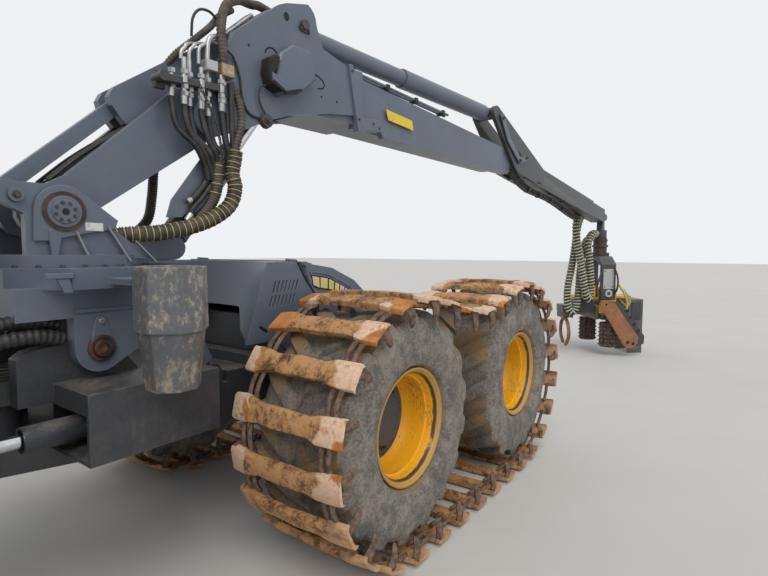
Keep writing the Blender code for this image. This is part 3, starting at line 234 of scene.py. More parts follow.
sky = bpy.context.scene.world or bpy.data.worlds.new("sky")
bpy.context.scene.world = sky
sky.use_nodes = True
sky_tree = sky.node_tree
sky_tree.nodes.clear()
light_path = sky_tree.nodes.new("ShaderNodeLightPath")
lit = sky_tree.nodes.new("ShaderNodeBackground")
lit.inputs["Color"].default_value = (0.93, 0.96, 1.0, 1.0)
lit.inputs["Strength"].default_value = SKY_LIGHT
seen = sky_tree.nodes.new("ShaderNodeBackground")
seen.inputs["Color"].default_value = (0.86, 0.88, 0.90, 1.0)
either = sky_tree.nodes.new("ShaderNodeMath")
either.operation = "MAXIMUM"
either_way = sky_tree.nodes.new("ShaderNodeMath")
either_way.operation = "MAXIMUM"
blend = sky_tree.nodes.new("ShaderNodeMixShader")
sky_out = sky_tree.nodes.new("ShaderNodeOutputWorld")
for start, end in (
    (light_path.outputs["Is Camera Ray"], either.inputs[0]),
    (light_path.outputs["Is Glossy Ray"], either.inputs[1]),
    (either.outputs[0], either_way.inputs[0]),
    (light_path.outputs["Is Transmission Ray"], either_way.inputs[1]),
    (either_way.outputs[0], blend.inputs[0]),
    (lit.outputs[0], blend.inputs[1]),
    (seen.outputs[0], blend.inputs[2]),
    (blend.outputs[0], sky_out.inputs[0]),
):
    sky_tree.links.new(start, end)
sun = bpy.data.lights.new("sun", "SUN")
sun.energy = SUN
sun.angle = math.radians(40)
sun.color = (1.0, 0.97, 0.93)
sun_holder = bpy.data.objects.new("sun", sun)
sun_holder.rotation_euler = (math.radians(38), math.radians(-18), math.radians(-25))
link_object(sun_holder)
bpy.context.scene.view_settings.view_transform = "Standard"


# Tyres: wide forestry tyres, dusty grey on the sides and clay brown on the tread, drier on the rear ones,
# which wear no track. Each is one grid of angle by place across, whose radius rises where a slanting lug
# crosses it.

TYRE_RADIUS = 0.72
TYRE_HALF = 0.34
AXLE_SPACING = 1.70
WHEEL_Y = 1.13
BOGIE_X = SLEW_X + 2.19
REAR_BOGIE_X = SLEW_X - 2.56
FRONT_AXLES = {"rear": BOGIE_X - AXLE_SPACING / 2, "front": BOGIE_X + AXLE_SPACING / 2}
REAR_AXLES = {"rear": REAR_BOGIE_X - AXLE_SPACING / 2, "front": REAR_BOGIE_X + AXLE_SPACING / 2}
FRONT_WHEEL_Z = 0.82
REAR_WHEEL_Z = 0.72
WHEELS = (("right", -1), ("left", 1))
LUG_PAIRS = 17
LUG_STATIONS = np.array([0.0, 0.06, 0.25, 0.44, 0.52, 0.76])
LUG_HEIGHTS = np.array([0.0, 0.92, 1.0, 0.92, 0.0, 0.0])
LUG_DEPTH = 0.045


def grid_faces(rows, columns, ring=True, tube=True):
    """Quads between neighbours of a grid of points; ring closes the rows, tube closes the columns."""
    row = np.arange(rows if ring else rows - 1)[:, None]
    column = np.arange(columns if tube else columns - 1)[None, :]
    after = (row + 1) % rows
    beside = (column + 1) % columns
    corners = (row * columns + column, row * columns + beside, after * columns + beside,
        after * columns + column)
    return np.stack(np.broadcast_arrays(*corners), axis=-1).reshape(-1, 4)


def closed_tube(rows, columns):
    """The faces of a tube of rings of points, with a flat cap at either end."""
    ends = [tuple(range(columns)), tuple(range((rows - 1) * columns, rows * columns))]
    return list(grid_faces(rows, columns, False)) + ends


def joined(shapes):
    """One list of points and one of faces from several shapes."""
    points = []
    faces = []
    count = 0
    for shape_points, shape_faces in shapes:
        points.append(np.asarray(shape_points, float).reshape(-1, 3))
        faces += [tuple(int(corner) + count for corner in face) for face in shape_faces]
        count += len(points[-1])
    return np.concatenate(points), faces


def make_piece(name, shapes, body, material, replaces=(), crease=35.0, place=None):
    """A mesh from shapes, its faces turned outwards, riding on a body. Place takes points to the world."""
    if place:
        shapes = [(place(points), faces) for points, faces in shapes]
    points, faces = joined(shapes)
    mesh = bpy.data.meshes.new(name)
    mesh.from_pydata(points.tolist(), [], faces)
    work = bmesh.new()
    work.from_mesh(mesh)
    bmesh.ops.remove_doubles(work, verts=work.verts, dist=1e-5)
    bmesh.ops.recalc_face_normals(work, faces=work.faces)
    work.to_mesh(mesh)
    work.free()
    mesh.shade_smooth()
    mesh.set_sharp_from_angle(angle=math.radians(crease))
    mesh.materials.append(material)
    made = bpy.data.objects.new(name, mesh)
    link_object(made)
    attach(made, body)
    if replaces:
        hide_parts(*replaces)
    return made


def tyre_shape(centre):
    """A turned carcass plus slanting lugs, whose angle is swept with the place across."""
    across = np.array([-0.80, -0.93, -1.0, -1.0, -0.985, -0.95, -0.90, -0.80, -0.60, -0.40, -0.20, -0.06])
    across = np.concatenate([across, -across[::-1]]) * TYRE_HALF
    share = np.abs(across) / TYRE_HALF
    side = np.array([0.360, 0.385, 0.43, 0.52, 0.58, 0.625, 0.655, 0.668, 0.674, 0.676, 0.677, 0.677])
    carcass = np.concatenate([side, side[::-1]])
    lug = np.array([0, 0, 0, 0, 0.15, 0.55, 0.9, 1.0, 1.0, 1.0, 1.0, 0.55])
    lug = np.concatenate([lug, lug[::-1]]) * LUG_DEPTH
    pitch = 2 * math.pi / LUG_PAIRS
    stations = ((np.arange(LUG_PAIRS)[:, None] + LUG_STATIONS[None, :]) * pitch).ravel()
    heights = np.tile(LUG_HEIGHTS, LUG_PAIRS)
    slant = np.clip(1 - share, 0, 1) * 0.34 + np.where(across > 0, pitch * 0.5, 0.0)
    angle = stations[:, None] + slant[None, :]
    radius = carcass[None, :] + lug[None, :] * heights[:, None]
    radius = np.minimum(radius, TYRE_RADIUS)
    points = np.stack([
        centre[0] + radius * np.cos(angle),
        centre[1] + np.broadcast_to(across, radius.shape),
        centre[2] + radius * np.sin(angle),
    ], axis=-1)
    return points, grid_faces(len(stations), len(across))


def tyre_rubber(name, clay):
    """Grey-black rubber under dust: clay in blotches, thick near the tread, thin on the sides."""
    rubber = Finish(name, "tyre_rubber", Roughness=0.9)
    blotch = rubber.noise(11.0, 9.0, 0.72)
    fine = rubber.noise(70.0, 5.0, 0.7)
    side = (rubber.facing("Y") * rubber.facing("Y")).step(0.35, 0.85)
    cake = rubber.noise(3.2, 5.0, 0.6)
    bare = rubber.mix(fine, (0.094, 0.085, 0.076), (0.152, 0.138, 0.124))
    dusty = rubber.mix((blotch * 0.45 + cake * 0.2 + fine * 0.35).step(0.42, 0.60), bare,
        (0.310, 0.275, 0.238))
    crumbs = (cake * 0.55 + blotch * 0.3 + fine * 0.15).step(0.44, 0.56)
    muddy = rubber.mix(crumbs * clay * (1 - side * 0.93), dusty, (0.27, 0.175, 0.090))
    damp = blotch.step(0.56, 0.66) * (1 - side) * 0.7
    muddy = rubber.mix(damp, muddy, (0.075, 0.052, 0.036))
    pores = blotch * 0.5 + fine * 0.5
    return rubber.done(muddy, height=pores, depth=0.006, strength=0.5)


for which, rubber, axles, height in (
    ("front", tyre_rubber("tyre_under_track", 1.0), FRONT_AXLES, FRONT_WHEEL_Z),
    ("rear", tyre_rubber("tyre_bare", 0.6), REAR_AXLES, REAR_WHEEL_Z),
):
    for end, axle in axles.items():
        for place, side in WHEELS:
            where = f"{end}_{place}"
            body = "front_frame" if which == "front" else f"rear_wheel_{where}"
            shape = tyre_shape((axle, side * WHEEL_Y, height))
            make_piece(f"tyre_dressed_{which}_{where}", [shape], body, rubber, [f"{which}_tyre_{where}"],
                30)


# Rims: deep-dished steel in yellow paint, with a bead lip, a stepped well and a disc on a ring of nuts.
# The paint is scuffed at the lip and holds clay in the well.

RIM_HALF = 0.30


def lathe(profile, centre, sides, axis="y", closed=True):
    """A profile of (distance along the axis, radius) turned about an axis through centre."""
    profile = np.asarray(profile, float)
    angle = np.arange(sides) * 2 * math.pi / sides
    along = np.broadcast_to(profile[:, 0], (sides, len(profile)))
    first = profile[None, :, 1] * np.cos(angle)[:, None]
    second = profile[None, :, 1] * np.sin(angle)[:, None]
    order = {"x": (along, first, second), "y": (first, along, second), "z": (first, second, along)}[axis]
    return np.stack(order, axis=-1).reshape(-1, 3) + np.asarray(centre, float), grid_faces(sides,
        len(profile), True, closed)


def capped(profile, centre, sides, axis="y"):
    """A turned solid whose profile starts and ends on its axis."""
    low, high = profile[0][0], profile[-1][0]
    closed = [(low, 1e-6)] + list(profile) + [(high, 1e-6)]
    return lathe(closed, centre, sides, axis, False)


def nut(place, out, size, axis="y"):
    """A hexagon nut on a round washer, standing outwards along an axis."""
    washer = [(0.0, size * 0.95), (out * size * 0.25, size * 0.95), (out * size * 0.25, size * 0.3)]
    head = [(out * size * 0.25, size * 0.62), (out * size * 0.9, size * 0.62),
        (out * size * 0.9, size * 0.1)]
    return [capped(washer, place, 12, axis), capped(head, place, 6, axis)]


def rim_shapes(centre, side):
    """The barrel alone: inner lip, well and outer lip, and back, as one closed section."""
    lip = side * RIM_HALF
    profile = [
        (-lip, 0.357), (-lip, 0.33), (-lip + side * 0.04, 0.322), (0.0, 0.292), (side * 0.02, 0.262),
        (side * 0.045, 0.262),
        (side * 0.075, 0.284), (side * 0.11, 0.296), (side * 0.205, 0.300), (side * 0.212, 0.312),
        (lip - side * 0.035, 0.320),
        (lip - side * 0.014, 0.334), (lip - side * 0.004, 0.340), (lip + side * 0.003, 0.350),
        (lip, 0.3595), (lip - side * 0.03, 0.3595),
    ]
    return [lathe(profile, centre, 64)]


def disc_shapes(centre, side):
    """The dished disc inside the barrel, and twelve nuts with studs."""
    face = side * 0.035
    dish = [(face - side * 0.02, 0.264), (face - side * 0.02, 0.1605), (face, 0.1605), (face, 0.240),
        (side * 0.045, 0.264)]
    shapes = [lathe(dish, centre, 48)]
    for step in range(12):
        angle = (step + 0.5) * math.pi / 6
        place = (centre[0] + 0.205 * math.cos(angle), centre[1] + face, centre[2] + 0.205 * math.sin(angle))
        shapes += nut(place, side, 0.022)
        stud = [(side * 0.018, 0.008), (side * 0.034, 0.007)]
        shapes.append(capped(stud, place, 8))
    return shapes


rim_yellow = Finish("rim_paint", "rim_yellow", Roughness=0.42)
stain = rim_yellow.noise(5.0, 8.0, 0.7)
scratch = rim_yellow.noise(26.0, 6.0, 0.7, stretch=(1.0, 4.0, 1.0))
from_middle = rim_yellow.from_wheel()
coat = rim_yellow.mix(stain, (0.84, 0.37, 0.006), (0.98, 0.50, 0.010))
coat = rim_yellow.mix((stain * scratch).step(0.25, 0.40), coat, (0.36, 0.19, 0.05))
chipped = (from_middle + scratch * 0.025).step(0.262,
    0.274) * (1 - (from_middle + stain * 0.02).step(0.286, 0.294))
coat = rim_yellow.mix(chipped * stain.step(0.30, 0.46), coat, (0.060, 0.040, 0.026))
lip = (from_middle + stain * 0.01).step(0.278, 0.296)
coat = rim_yellow.mix(lip * 0.85, coat, rim_yellow.mix(scratch.step(0.4, 0.6), (0.34, 0.235, 0.130),
    (0.52, 0.30, 0.045)))
coat = rim_yellow.mix(scratch.step(0.66, 0.74), coat, (0.10, 0.06, 0.035))
rim_paint = rim_yellow.done(coat, roughness=stain * 0.3 + 0.35, height=stain, depth=0.001, strength=0.3)

disc_grey = Finish("disc_paint", "frame_grey", Roughness=0.6)
stain = disc_grey.noise(6.0, 8.0, 0.7)
grit = disc_grey.noise(48.0, 5.0, 0.7)
dull = disc_grey.mix(stain.step(0.35, 0.65), (0.040, 0.041, 0.044), (0.105, 0.100, 0.095))
dull = disc_grey.mix(grit.step(0.56, 0.68), dull, (0.20, 0.165, 0.125))
disc_paint = disc_grey.done(dull, roughness=grit * 0.3 + 0.45, height=grit, depth=0.001)

for end in ("rear", "front"):
    for place, side in WHEELS:
        front = (FRONT_AXLES[end], side * WHEEL_Y, FRONT_WHEEL_Z)
        rear = (REAR_AXLES[end], side * WHEEL_Y, REAR_WHEEL_Z)
        for which, centre, body in (("front", front, "front_frame"),
                ("rear", rear, f"rear_wheel_{end}_{place}")):
            make_piece(f"rim_dressed_{which}_{end}_{place}", rim_shapes(centre, side), body, rim_paint,
                [f"{which}_rim_{end}_{place}"])
            make_piece(f"disc_dressed_{which}_{end}_{place}", disc_shapes(centre, side), body, disc_paint)


# Tracks: forged cross shoes over both wheels of the front bogie, joined by pairs of ring links, with
# fingers that reach down beside the tyre. Rusty, packed with clay in the middle, scoured pale at the ends,
# with a painted highlight that keeps the pale ends bright on the upper shoes.

SHOES = 30
TRACK_HALF = 0.40
TRACK_MIDDLE = 0.77
TRACK_TOP = 0.82
TRACK_SAG = 0.15
TURN = math.pi * TRACK_MIDDLE
LOOP = 2 * AXLE_SPACING + 2 * TURN
SHOE_PITCH = LOOP / SHOES


def on_loop(distance, radius):
    """Places on the loop: a sagging run above, a straight one below, half circles round the end wheels."""
    distance = np.mod(distance, LOOP)
    half = AXLE_SPACING / 2
    second = distance - AXLE_SPACING
    third = second - TURN
    fourth = third - AXLE_SPACING
    angle = np.where(second < 0, math.pi / 2, math.pi / 2 - second / TRACK_MIDDLE)
    angle = np.where(third > 0, -math.pi / 2, angle)
    angle = np.where(fourth > 0, -math.pi / 2 - fourth / TRACK_MIDDLE, angle)
    middle = np.where(second < 0, distance - half, half)
    middle = np.where(third > 0, half - third, middle)
    middle = np.where(fourth > 0, -half, middle)
    slack = np.where(second < 0, TRACK_SAG * np.cos(math.pi * middle / (2 * half)) ** 2, 0.0)
    return BOGIE_X + middle + radius * np.cos(angle), FRONT_WHEEL_Z + radius * np.sin(angle) - slack


def shoe_shape(start, side, seed):
    """A plate across the track: rows across it, a section along the loop, waisted and bent at its ends."""
    chance = np.random.default_rng(seed)
    across = np.array([-1.0, -0.97, -0.80, -0.62, -0.45, -0.2, 0.0, 0.2, 0.45, 0.62, 0.80, 0.97, 1.0])
    width = np.array([0.150, 0.152, 0.152, 0.136, 0.106, 0.112, 0.112, 0.112, 0.106, 0.136, 0.152, 0.152,
        0.150])
    drop = np.array([0.019, 0.017, 0.010, 0.003, 0.006, 0.002, 0.0, 0.002, 0.006, 0.003, 0.010, 0.017,
        0.019])
    width = width + chance.uniform(-0.005, 0.005, len(width))
    skew = np.cumsum(chance.uniform(-0.004, 0.004, len(width)))
    along = np.array([-0.5, -0.47, -0.36, 0.36, 0.47, 0.5])
    along = np.concatenate([along, along[::-1]])
    level = np.array([0.793, 0.806, 0.812, TRACK_TOP - 0.006, 0.806, 0.793])
    level = np.concatenate([level, level[::-1] - 0.018])
    distance = start + along[None, :] * width[:, None] + skew[:, None]
    radius = level[None, :] - drop[:, None] + chance.uniform(-0.002, 0.0, (len(width), len(along)))
    x, z = on_loop(distance, radius)
    y = np.broadcast_to((side * WHEEL_Y + across * TRACK_HALF)[:, None], x.shape)
    points = np.stack([x, y, z], axis=-1)
    return points, closed_tube(len(width), len(along))


def sweep(path, radius, sides=8, caps=True):
    """A round tube along a path: rings square to it, carried along without twist."""
    path = np.asarray(path, float)
    tangent = np.gradient(path, axis=0)
    tangent /= np.linalg.norm(tangent, axis=1)[:, None]
    first = np.cross(tangent[0], (0.0, 0.0, 1.0))
    if np.linalg.norm(first) < 0.1:
        first = np.cross(tangent[0], (0.0, 1.0, 0.0))
    frames = []
    for direction in tangent:
        first = first - direction * (first @ direction)
        first = first / np.linalg.norm(first)
        frames.append((first, np.cross(direction, first)))
    frames = np.array(frames)
    angle = np.arange(sides) * 2 * math.pi / sides
    wide = np.broadcast_to(np.asarray(radius, float), (len(path),))[:, None, None]
    ring = np.cos(angle)[None, :, None] * frames[:, None, 0] + np.sin(angle)[None, :, None] * frames[:,
        None, 1]
    points = path[:, None, :] + ring * wide
    faces = closed_tube(len(path), sides) if caps else list(grid_faces(len(path), sides, False))
    return points.reshape(-1, 3), faces


def link_shape(start, side, across):
    """A ring link: a bar that leaves one shoe, bows outwards a little and enters the next."""
    share = np.linspace(0.0, 1.0, 5)
    x, z = on_loop(start + share * SHOE_PITCH * 0.62, 0.758 + 0.012 * np.sin(share * math.pi))
    y = np.full(5, side * WHEEL_Y + across)
    return sweep(np.stack([x, y, z], axis=-1), 0.0145, 6)


def finger_shape(start, side, end):
    """A flat horn that leans from the shoe's end down beside the tyre's shoulder to a rounded tip."""
    share = np.array([0.0, 0.25, 0.55, 0.80, 0.94, 1.0])[:, None]
    long_half = np.array([0.040, 0.038, 0.032, 0.027, 0.018, 0.006])[:, None]
    thick_half = np.array([0.016, 0.017, 0.016, 0.014, 0.010, 0.004])[:, None]
    angle = np.arange(8) * 2 * math.pi / 8
    x, z = on_loop(start + 0.020 * share + long_half * np.cos(angle), 0.788 - 0.155 * share)
    y = side * WHEEL_Y + end * (0.368 + 0.016 * np.sin(share * math.pi)) + thick_half * np.sin(angle)
    points = np.stack(np.broadcast_arrays(x, y, z), axis=-1)
    return points, closed_tube(6, 8)


track_steel = Finish("track_rust", "track_steel", Roughness=0.82)
rust = track_steel.noise(9.0, 8.0, 0.7)
grain = track_steel.noise(45.0, 6.0, 0.7)
patch = track_steel.noise(3.1, 2.0)
from_wheel = track_steel.from_wheel()
slant = track_steel.noise(5.5, 1.0, 0.5)
# Pale ends: scoured steel, brightened as a painted highlight and faded towards the lower shoes.
high_up = track_steel.part_of(track_steel.place, "Z").step(0.50, 0.85)
scoured_and_highlit = (from_wheel + slant * 0.26 + rust * 0.07 + grain * 0.03).step(0.425,
    0.455) * (high_up * 0.75 + 0.25)
steel = track_steel.mix(rust.step(0.30, 0.62), (0.070, 0.038, 0.022), (0.36, 0.175, 0.070))
steel = track_steel.mix((rust * 0.55 + grain * 0.45).step(0.42, 0.56), steel, (0.58, 0.315, 0.135))
worn = track_steel.mix(grain.step(0.42, 0.66), (0.84, 0.60, 0.44), (0.72, 0.43, 0.26))
worn = track_steel.mix((rust * 0.6 + grain * 0.4).step(0.55, 0.64), worn, (0.36, 0.17, 0.08))
orange = (from_wheel * 0.35 + patch + grain * 0.05).step(0.675, 0.705)
worn = track_steel.mix(orange, worn, track_steel.mix(rust.step(0.4, 0.6), (0.66, 0.29, 0.085),
    (0.46, 0.17, 0.050)))
steel = track_steel.mix(scoured_and_highlit, steel, worn)
rusty_shoes = track_steel.done(steel, height=rust * 0.6 + grain * 0.4, depth=0.006, strength=0.8)

link_steel = Finish("link_rust", "track_steel", Roughness=0.8)
rust = link_steel.noise(30.0, 6.0, 0.7)
link_colour = link_steel.mix(rust.step(0.35, 0.65), (0.080, 0.050, 0.038), (0.25, 0.155, 0.110))
rusty_links = link_steel.done(link_colour, height=rust, depth=0.003)

for place, side in WHEELS:
    shoes = []
    links = []
    for number in range(SHOES):
        start = (number + 0.30) * SHOE_PITCH
        shoes.append(shoe_shape(start, side, number + 100 * side + 200))
        for across in (-0.315, -0.262, 0.262, 0.315):
            links.append(link_shape(start + 0.20 * SHOE_PITCH, side, across))
        for end in (-1, 1):
            links.append(finger_shape(start + 0.12 * SHOE_PITCH, side, end))
    make_piece(f"track_shoes_{place}", shoes, "front_frame", rusty_shoes, [f"track_{place}"], 40)
    make_piece(f"track_links_{place}", links, "front_frame", rusty_links, (), 60)


# Welded steel of the frames and the crane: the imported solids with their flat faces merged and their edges
# rounded by a few millimetres, in satin graphite paint that carries road dust, runs and bare edges.

CREASE = math.radians(32)
HEAD_FEED = (0.6428, -0.7660, 0.0)
HEAD_MIDDLE = 6.407 * 0.6428 + 0.687 * 0.7660
GRAPHITE = (0.112, 0.136, 0.182)
JIB_GREY = (0.040, 0.042, 0.048)
FRAME_GREY = (0.034, 0.038, 0.046)


def painted(name, slot, colour, roughness=0.42, dust=0.5, clay=0.0, chips=0.4, grey_parts=False):
    """Machine paint: slow shade changes, dust on what faces up, streaks, splashed clay and chipped edges."""
    paint = Finish(name, slot, Coat_Weight=0.12, Coat_Roughness=0.25)
    slow = paint.noise(1.7, 3.0)
    blotch = paint.noise(5.5, 9.0, 0.68)
    fine = paint.noise(55.0, 5.0, 0.65)
    streak = paint.noise(1.0, 6.0, 0.6, stretch=(16.0, 16.0, 1.3))
    up = paint.facing("Z").step(0.15, 0.95)
    light = tuple(min(1.0, part * 1.30) for part in colour)
    dark = tuple(part * 0.80 for part in colour)
    coat = paint.mix(slow, dark, light)
    if grey_parts:
        feed = paint.dot(paint.place, HEAD_FEED) - HEAD_MIDDLE
        saw_end = feed.step(0.452, 0.456)
        knife_end = (0 - feed).step(0.080, 0.084) * (1.0 - paint.part_of(paint.place, "Z")).step(0.0, 0.004)
        coat = paint.mix(saw_end | knife_end, coat,
            paint.mix(slow, (0.050, 0.051, 0.050), (0.085, 0.084, 0.078)))
    settled = (up * 0.75 + 0.16) * (blotch * 0.6 + fine * 0.4).step(0.36, 0.66) * dust
    coat = paint.mix(settled, coat, (0.33, 0.29, 0.235))
    runs = streak.step(0.56, 0.74) * blotch.step(0.40, 0.60) * (0.28 * dust)
    coat = paint.mix(runs, coat, (0.24, 0.225, 0.205))
    specks = fine.step(0.665, 0.70) * blotch.step(0.45, 0.62) * 0.6
    coat = paint.mix(specks * dust, coat, (0.36, 0.30, 0.22))
    if clay:
        speck = paint.noise(26.0, 8.0, 0.78, stretch=(1.4, 1.4, 0.8))
        splash = (blotch * 0.38 + speck * 0.62).step(0.485, 0.60) * clay
        coat = paint.mix(splash, coat, (0.43, 0.365, 0.27))
    rounded = paint.node("ShaderNodeBevel", {"samples": 4}, {"Radius": 0.012})
    agreement = paint.dot(rounded, paint.node("ShaderNodeNewGeometry", output="True Normal"))
    bare = (1 - agreement).step(0.03, 0.20) * blotch.step(0.44, 0.60) * chips
    coat = paint.mix(bare, coat, tuple(min(1.0, part * 1.6 + 0.10) for part in colour))
    gloss = blotch * 0.16 + settled * 0.35 + (roughness - 0.06)
    return paint.done(coat, roughness=gloss, height=fine * 0.4 + blotch * 0.6, depth=0.0012, strength=0.25)


def rounded_copy(node, material, width):
    """The node's solid, its coplanar triangles merged and its edges bevelled, in place of the node."""
    source = frame["nodes"][node]
    work = bmesh.new()
    work.from_mesh(source.data)
    bmesh.ops.remove_doubles(work, verts=work.verts, dist=2e-5)
    bmesh.ops.dissolve_limit(work, angle_limit=math.radians(0.6), verts=work.verts, edges=work.edges)
    mesh = bpy.data.meshes.new(f"{node}_plates")
    work.to_mesh(mesh)
    work.free()
    mesh.shade_smooth()
    mesh.set_sharp_from_angle(angle=CREASE)
    mesh.materials.append(material)
    made = bpy.data.objects.new(mesh.name, mesh)
    link_object(made)
    bevel = made.modifiers.new("edges", "BEVEL")
    bevel.width = width
    bevel.segments = 2
    bevel.limit_method = "ANGLE"
    bevel.angle_limit = CREASE
    bevel.use_clamp_overlap = True
    bevel.harden_normals = False
    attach(made, source["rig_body"])
    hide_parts(node)


graphite_paint = painted("graphite_paint", "crane_grey", GRAPHITE, 0.40, 0.45)
jib_paint = painted("jib_paint", "crane_grey", JIB_GREY, 0.40, 0.5)
# A lighter grey for the turret's thin gussets: painted highlight standing for the light on their edges.
scuffed_paint = painted("scuffed_paint", "crane_grey", (0.25, 0.27, 0.30), 0.50, 0.8)
frame_paint = painted("frame_paint", "frame_grey", FRAME_GREY, 0.45, 0.55)
cab_paint = painted("cab_paint_dressed", "cab_paint", (0.095, 0.100, 0.110), 0.35, 0.35)
head_paint = painted("head_paint", "head_yellow", (0.80, 0.40, 0.012), 0.42, 0.35, clay=0.25, chips=0.9,
    grey_parts=True)
shroud_plastic = painted("shroud_plastic_dressed", "shroud_plastic", (0.112, 0.118, 0.130), 0.55, 0.7,
    clay=0.85, chips=0.2)

worn = Finish("worn_steel_dressed", "worn_steel", Roughness=0.7)
rust = worn.noise(12.0, 8.0, 0.7)
grain = worn.noise(60.0, 5.0, 0.7)
colour = worn.mix(rust.step(0.35, 0.62), (0.060, 0.048, 0.042), (0.33, 0.155, 0.070))
colour = worn.mix(grain.step(0.58, 0.70), colour, (0.42, 0.27, 0.17))
worn_steel = worn.done(colour, roughness=rust * 0.4 + 0.45, height=rust * 0.5 + grain * 0.5, depth=0.003)

iron = Finish("rotator_iron", "worn_steel", Roughness=0.6)
film = iron.noise(14.0, 7.0, 0.7)
iron_colour = iron.mix(film.step(0.40, 0.66), (0.030, 0.022, 0.020), (0.120, 0.055, 0.038))
rotator_iron = iron.done(iron_colour, roughness=film * 0.3 + 0.40, height=film, depth=0.0015)

spiked = Finish("roller_steel", "worn_steel", Roughness=0.55)
film = spiked.noise(18.0, 7.0, 0.7)
spiked_colour = spiked.mix(film.step(0.38, 0.62), (0.022, 0.019, 0.017), (0.105, 0.072, 0.052))
roller_steel = spiked.done(spiked_colour, roughness=film * 0.3 + 0.35, height=film, depth=0.002)

chrome = Finish("chrome_rod", "rod_chrome", Metallic=1.0, Roughness=0.14)
scuff = chrome.noise(40.0, 5.0, 0.6)
rod_chrome = chrome.done(chrome.mix(scuff.step(0.45, 0.75), (0.66, 0.67, 0.69), (0.50, 0.50, 0.51)),
    roughness=scuff * 0.18 + 0.06)

zinc = Finish("zinc_fitting", "rod_chrome", Metallic=0.85, Roughness=0.38)
dull = zinc.noise(35.0, 5.0, 0.6)
zinc_plate = zinc.done(zinc.mix(dull, (0.36, 0.36, 0.36), (0.62, 0.62, 0.60)), roughness=dull * 0.3 + 0.25)

cast = Finish("engine_cast", "engine_block", Roughness=0.7)
skin = cast.noise(50.0, 5.0)
cast_iron = cast.done(cast.mix(skin, (0.10, 0.10, 0.10), (0.17, 0.17, 0.165)), height=skin, depth=0.002)

# Columns: node, finish, edge radius
for node, material, width in (
    ("front_frame", frame_paint, 0.006),
    ("hydraulic_tank", frame_paint, 0.012),
    ("front_bogie", frame_paint, 0.012),
    ("front_hood", graphite_paint, 0.004),
    ("steering_barrel_right", frame_paint, 0.003),
    ("steering_barrel_left", frame_paint, 0.003),
    ("steering_rod_right", rod_chrome, 0.002),
    ("steering_rod_left", rod_chrome, 0.002),
    ("tilt_base", graphite_paint, 0.005),
    ("tilt_cylinder_barrels", graphite_paint, 0.004),
    ("tilt_cylinder_rods", rod_chrome, 0.002),
    ("hose_shroud", shroud_plastic, 0.008),
    ("turret", graphite_paint, 0.005),
    ("lift_arm", graphite_paint, 0.006),
    ("tie_rod", graphite_paint, 0.006),
    ("lift_cylinder_barrel", graphite_paint, 0.003),
    ("lift_cylinder_rod", rod_chrome, 0.002),
    ("main_boom", graphite_paint, 0.006),
    ("luff_cylinder_barrel", graphite_paint, 0.003),
    ("luff_cylinder_rod", graphite_paint, 0.003),
    ("jib", jib_paint, 0.005),
    ("telescope", jib_paint, 0.005),
    ("tip_link", jib_paint, 0.006),
    ("rotator", rotator_iron, 0.006),
    ("head_hanger", frame_paint, 0.012),
    ("head_body", head_paint, 0.008),
    ("roller_arm_right", frame_paint, 0.008),
    ("roller_arm_left", frame_paint, 0.008),
    ("feed_roller_right", roller_steel, 0.003),
    ("feed_roller_left", roller_steel, 0.003),
    ("delimbing_knife_right", worn_steel, 0.004),
    ("delimbing_knife_left", worn_steel, 0.004),
    ("rear_frame", frame_paint, 0.008),
    ("rear_bogie", frame_paint, 0.012),
    ("cab_shell", cab_paint, 0.010),
    ("cab_door", cab_paint, 0.008),
    ("engine_hood", graphite_paint, 0.012),
    ("engine_block", cast_iron, 0.02),
):
    rounded_copy(node, material, width)


# Crane hoses: rubber pressure hoses from a bulkhead on the boom's tail, crimped in zinc fittings. They gather
# into ribbed sleeves with yellow rings that bend over the knee and reach the turret's foot.

CRANE_SIN = 0.07672
CRANE_COS = 0.99705


def on_crane(points):
    """World points from the crane's own plane: reach u, side y, height z, turned about the slew axis."""
    reach, across, height = np.asarray(points, float).reshape(-1, 3).T
    x = SLEW_X + CRANE_COS * reach + CRANE_SIN * across
    y = CRANE_COS * across - CRANE_SIN * reach
    return np.stack([x, y, height], axis=-1)


def smooth(points, steps=6):
    """A Catmull-Rom curve through control points: cubic spans whose slopes follow the neighbours."""
    points = np.asarray(points, float)
    padded = np.concatenate([[2 * points[0] - points[1]], points, [2 * points[-1] - points[-2]]])
    share = (np.arange(steps) / steps)[:, None]
    spans = []
    for before, start, end, after in zip(padded, padded[1:], padded[2:], padded[3:]):
        square = 2 * before - 5 * start + 4 * end - after
        cube = 3 * start - before - 3 * end + after
        spans.append(0.5 * (2 * start + (end - before) * share + square * share**2 + cube * share**3))
    return np.concatenate(spans + [points[-1:]])


def tube(points, radius, sides, steps):
    """A round tube along a smooth curve."""
    return sweep(smooth(points, steps), radius, sides)


def evenly(path, spacing):
    """The same path, resampled at even steps of its length."""
    steps = np.linalg.norm(np.diff(path, axis=0), axis=1)
    length = np.concatenate([[0.0], np.cumsum(steps)])
    places = np.linspace(0.0, length[-1], max(2, int(round(length[-1] / spacing)) + 1))
    return np.stack([np.interp(places, length, path[:, axis]) for axis in range(3)], axis=-1)


def ribbed(path, radius, pitch, depth):
    """A sleeve whose radius rises and falls once every pitch along its path."""
    line = evenly(smooth(path, 8), pitch / 4)
    wave = np.array([1.0, 1.0, 1.0 - depth, 1.0 - depth])[np.arange(len(line)) % 4]
    return sweep(line, radius * wave, 12)


def rings(path, radius, every, width):
    """Flat bands round a sleeve, one every so many metres, each a short barrel a little proud of it."""
    line = evenly(smooth(path, 8), width / 2)
    bands = []
    step = max(3, int(round(every / (width / 2))))
    for start in range(1, len(line) - 3, step):
        bands.append(sweep(line[start:start + 3], radius, 14))
    return bands


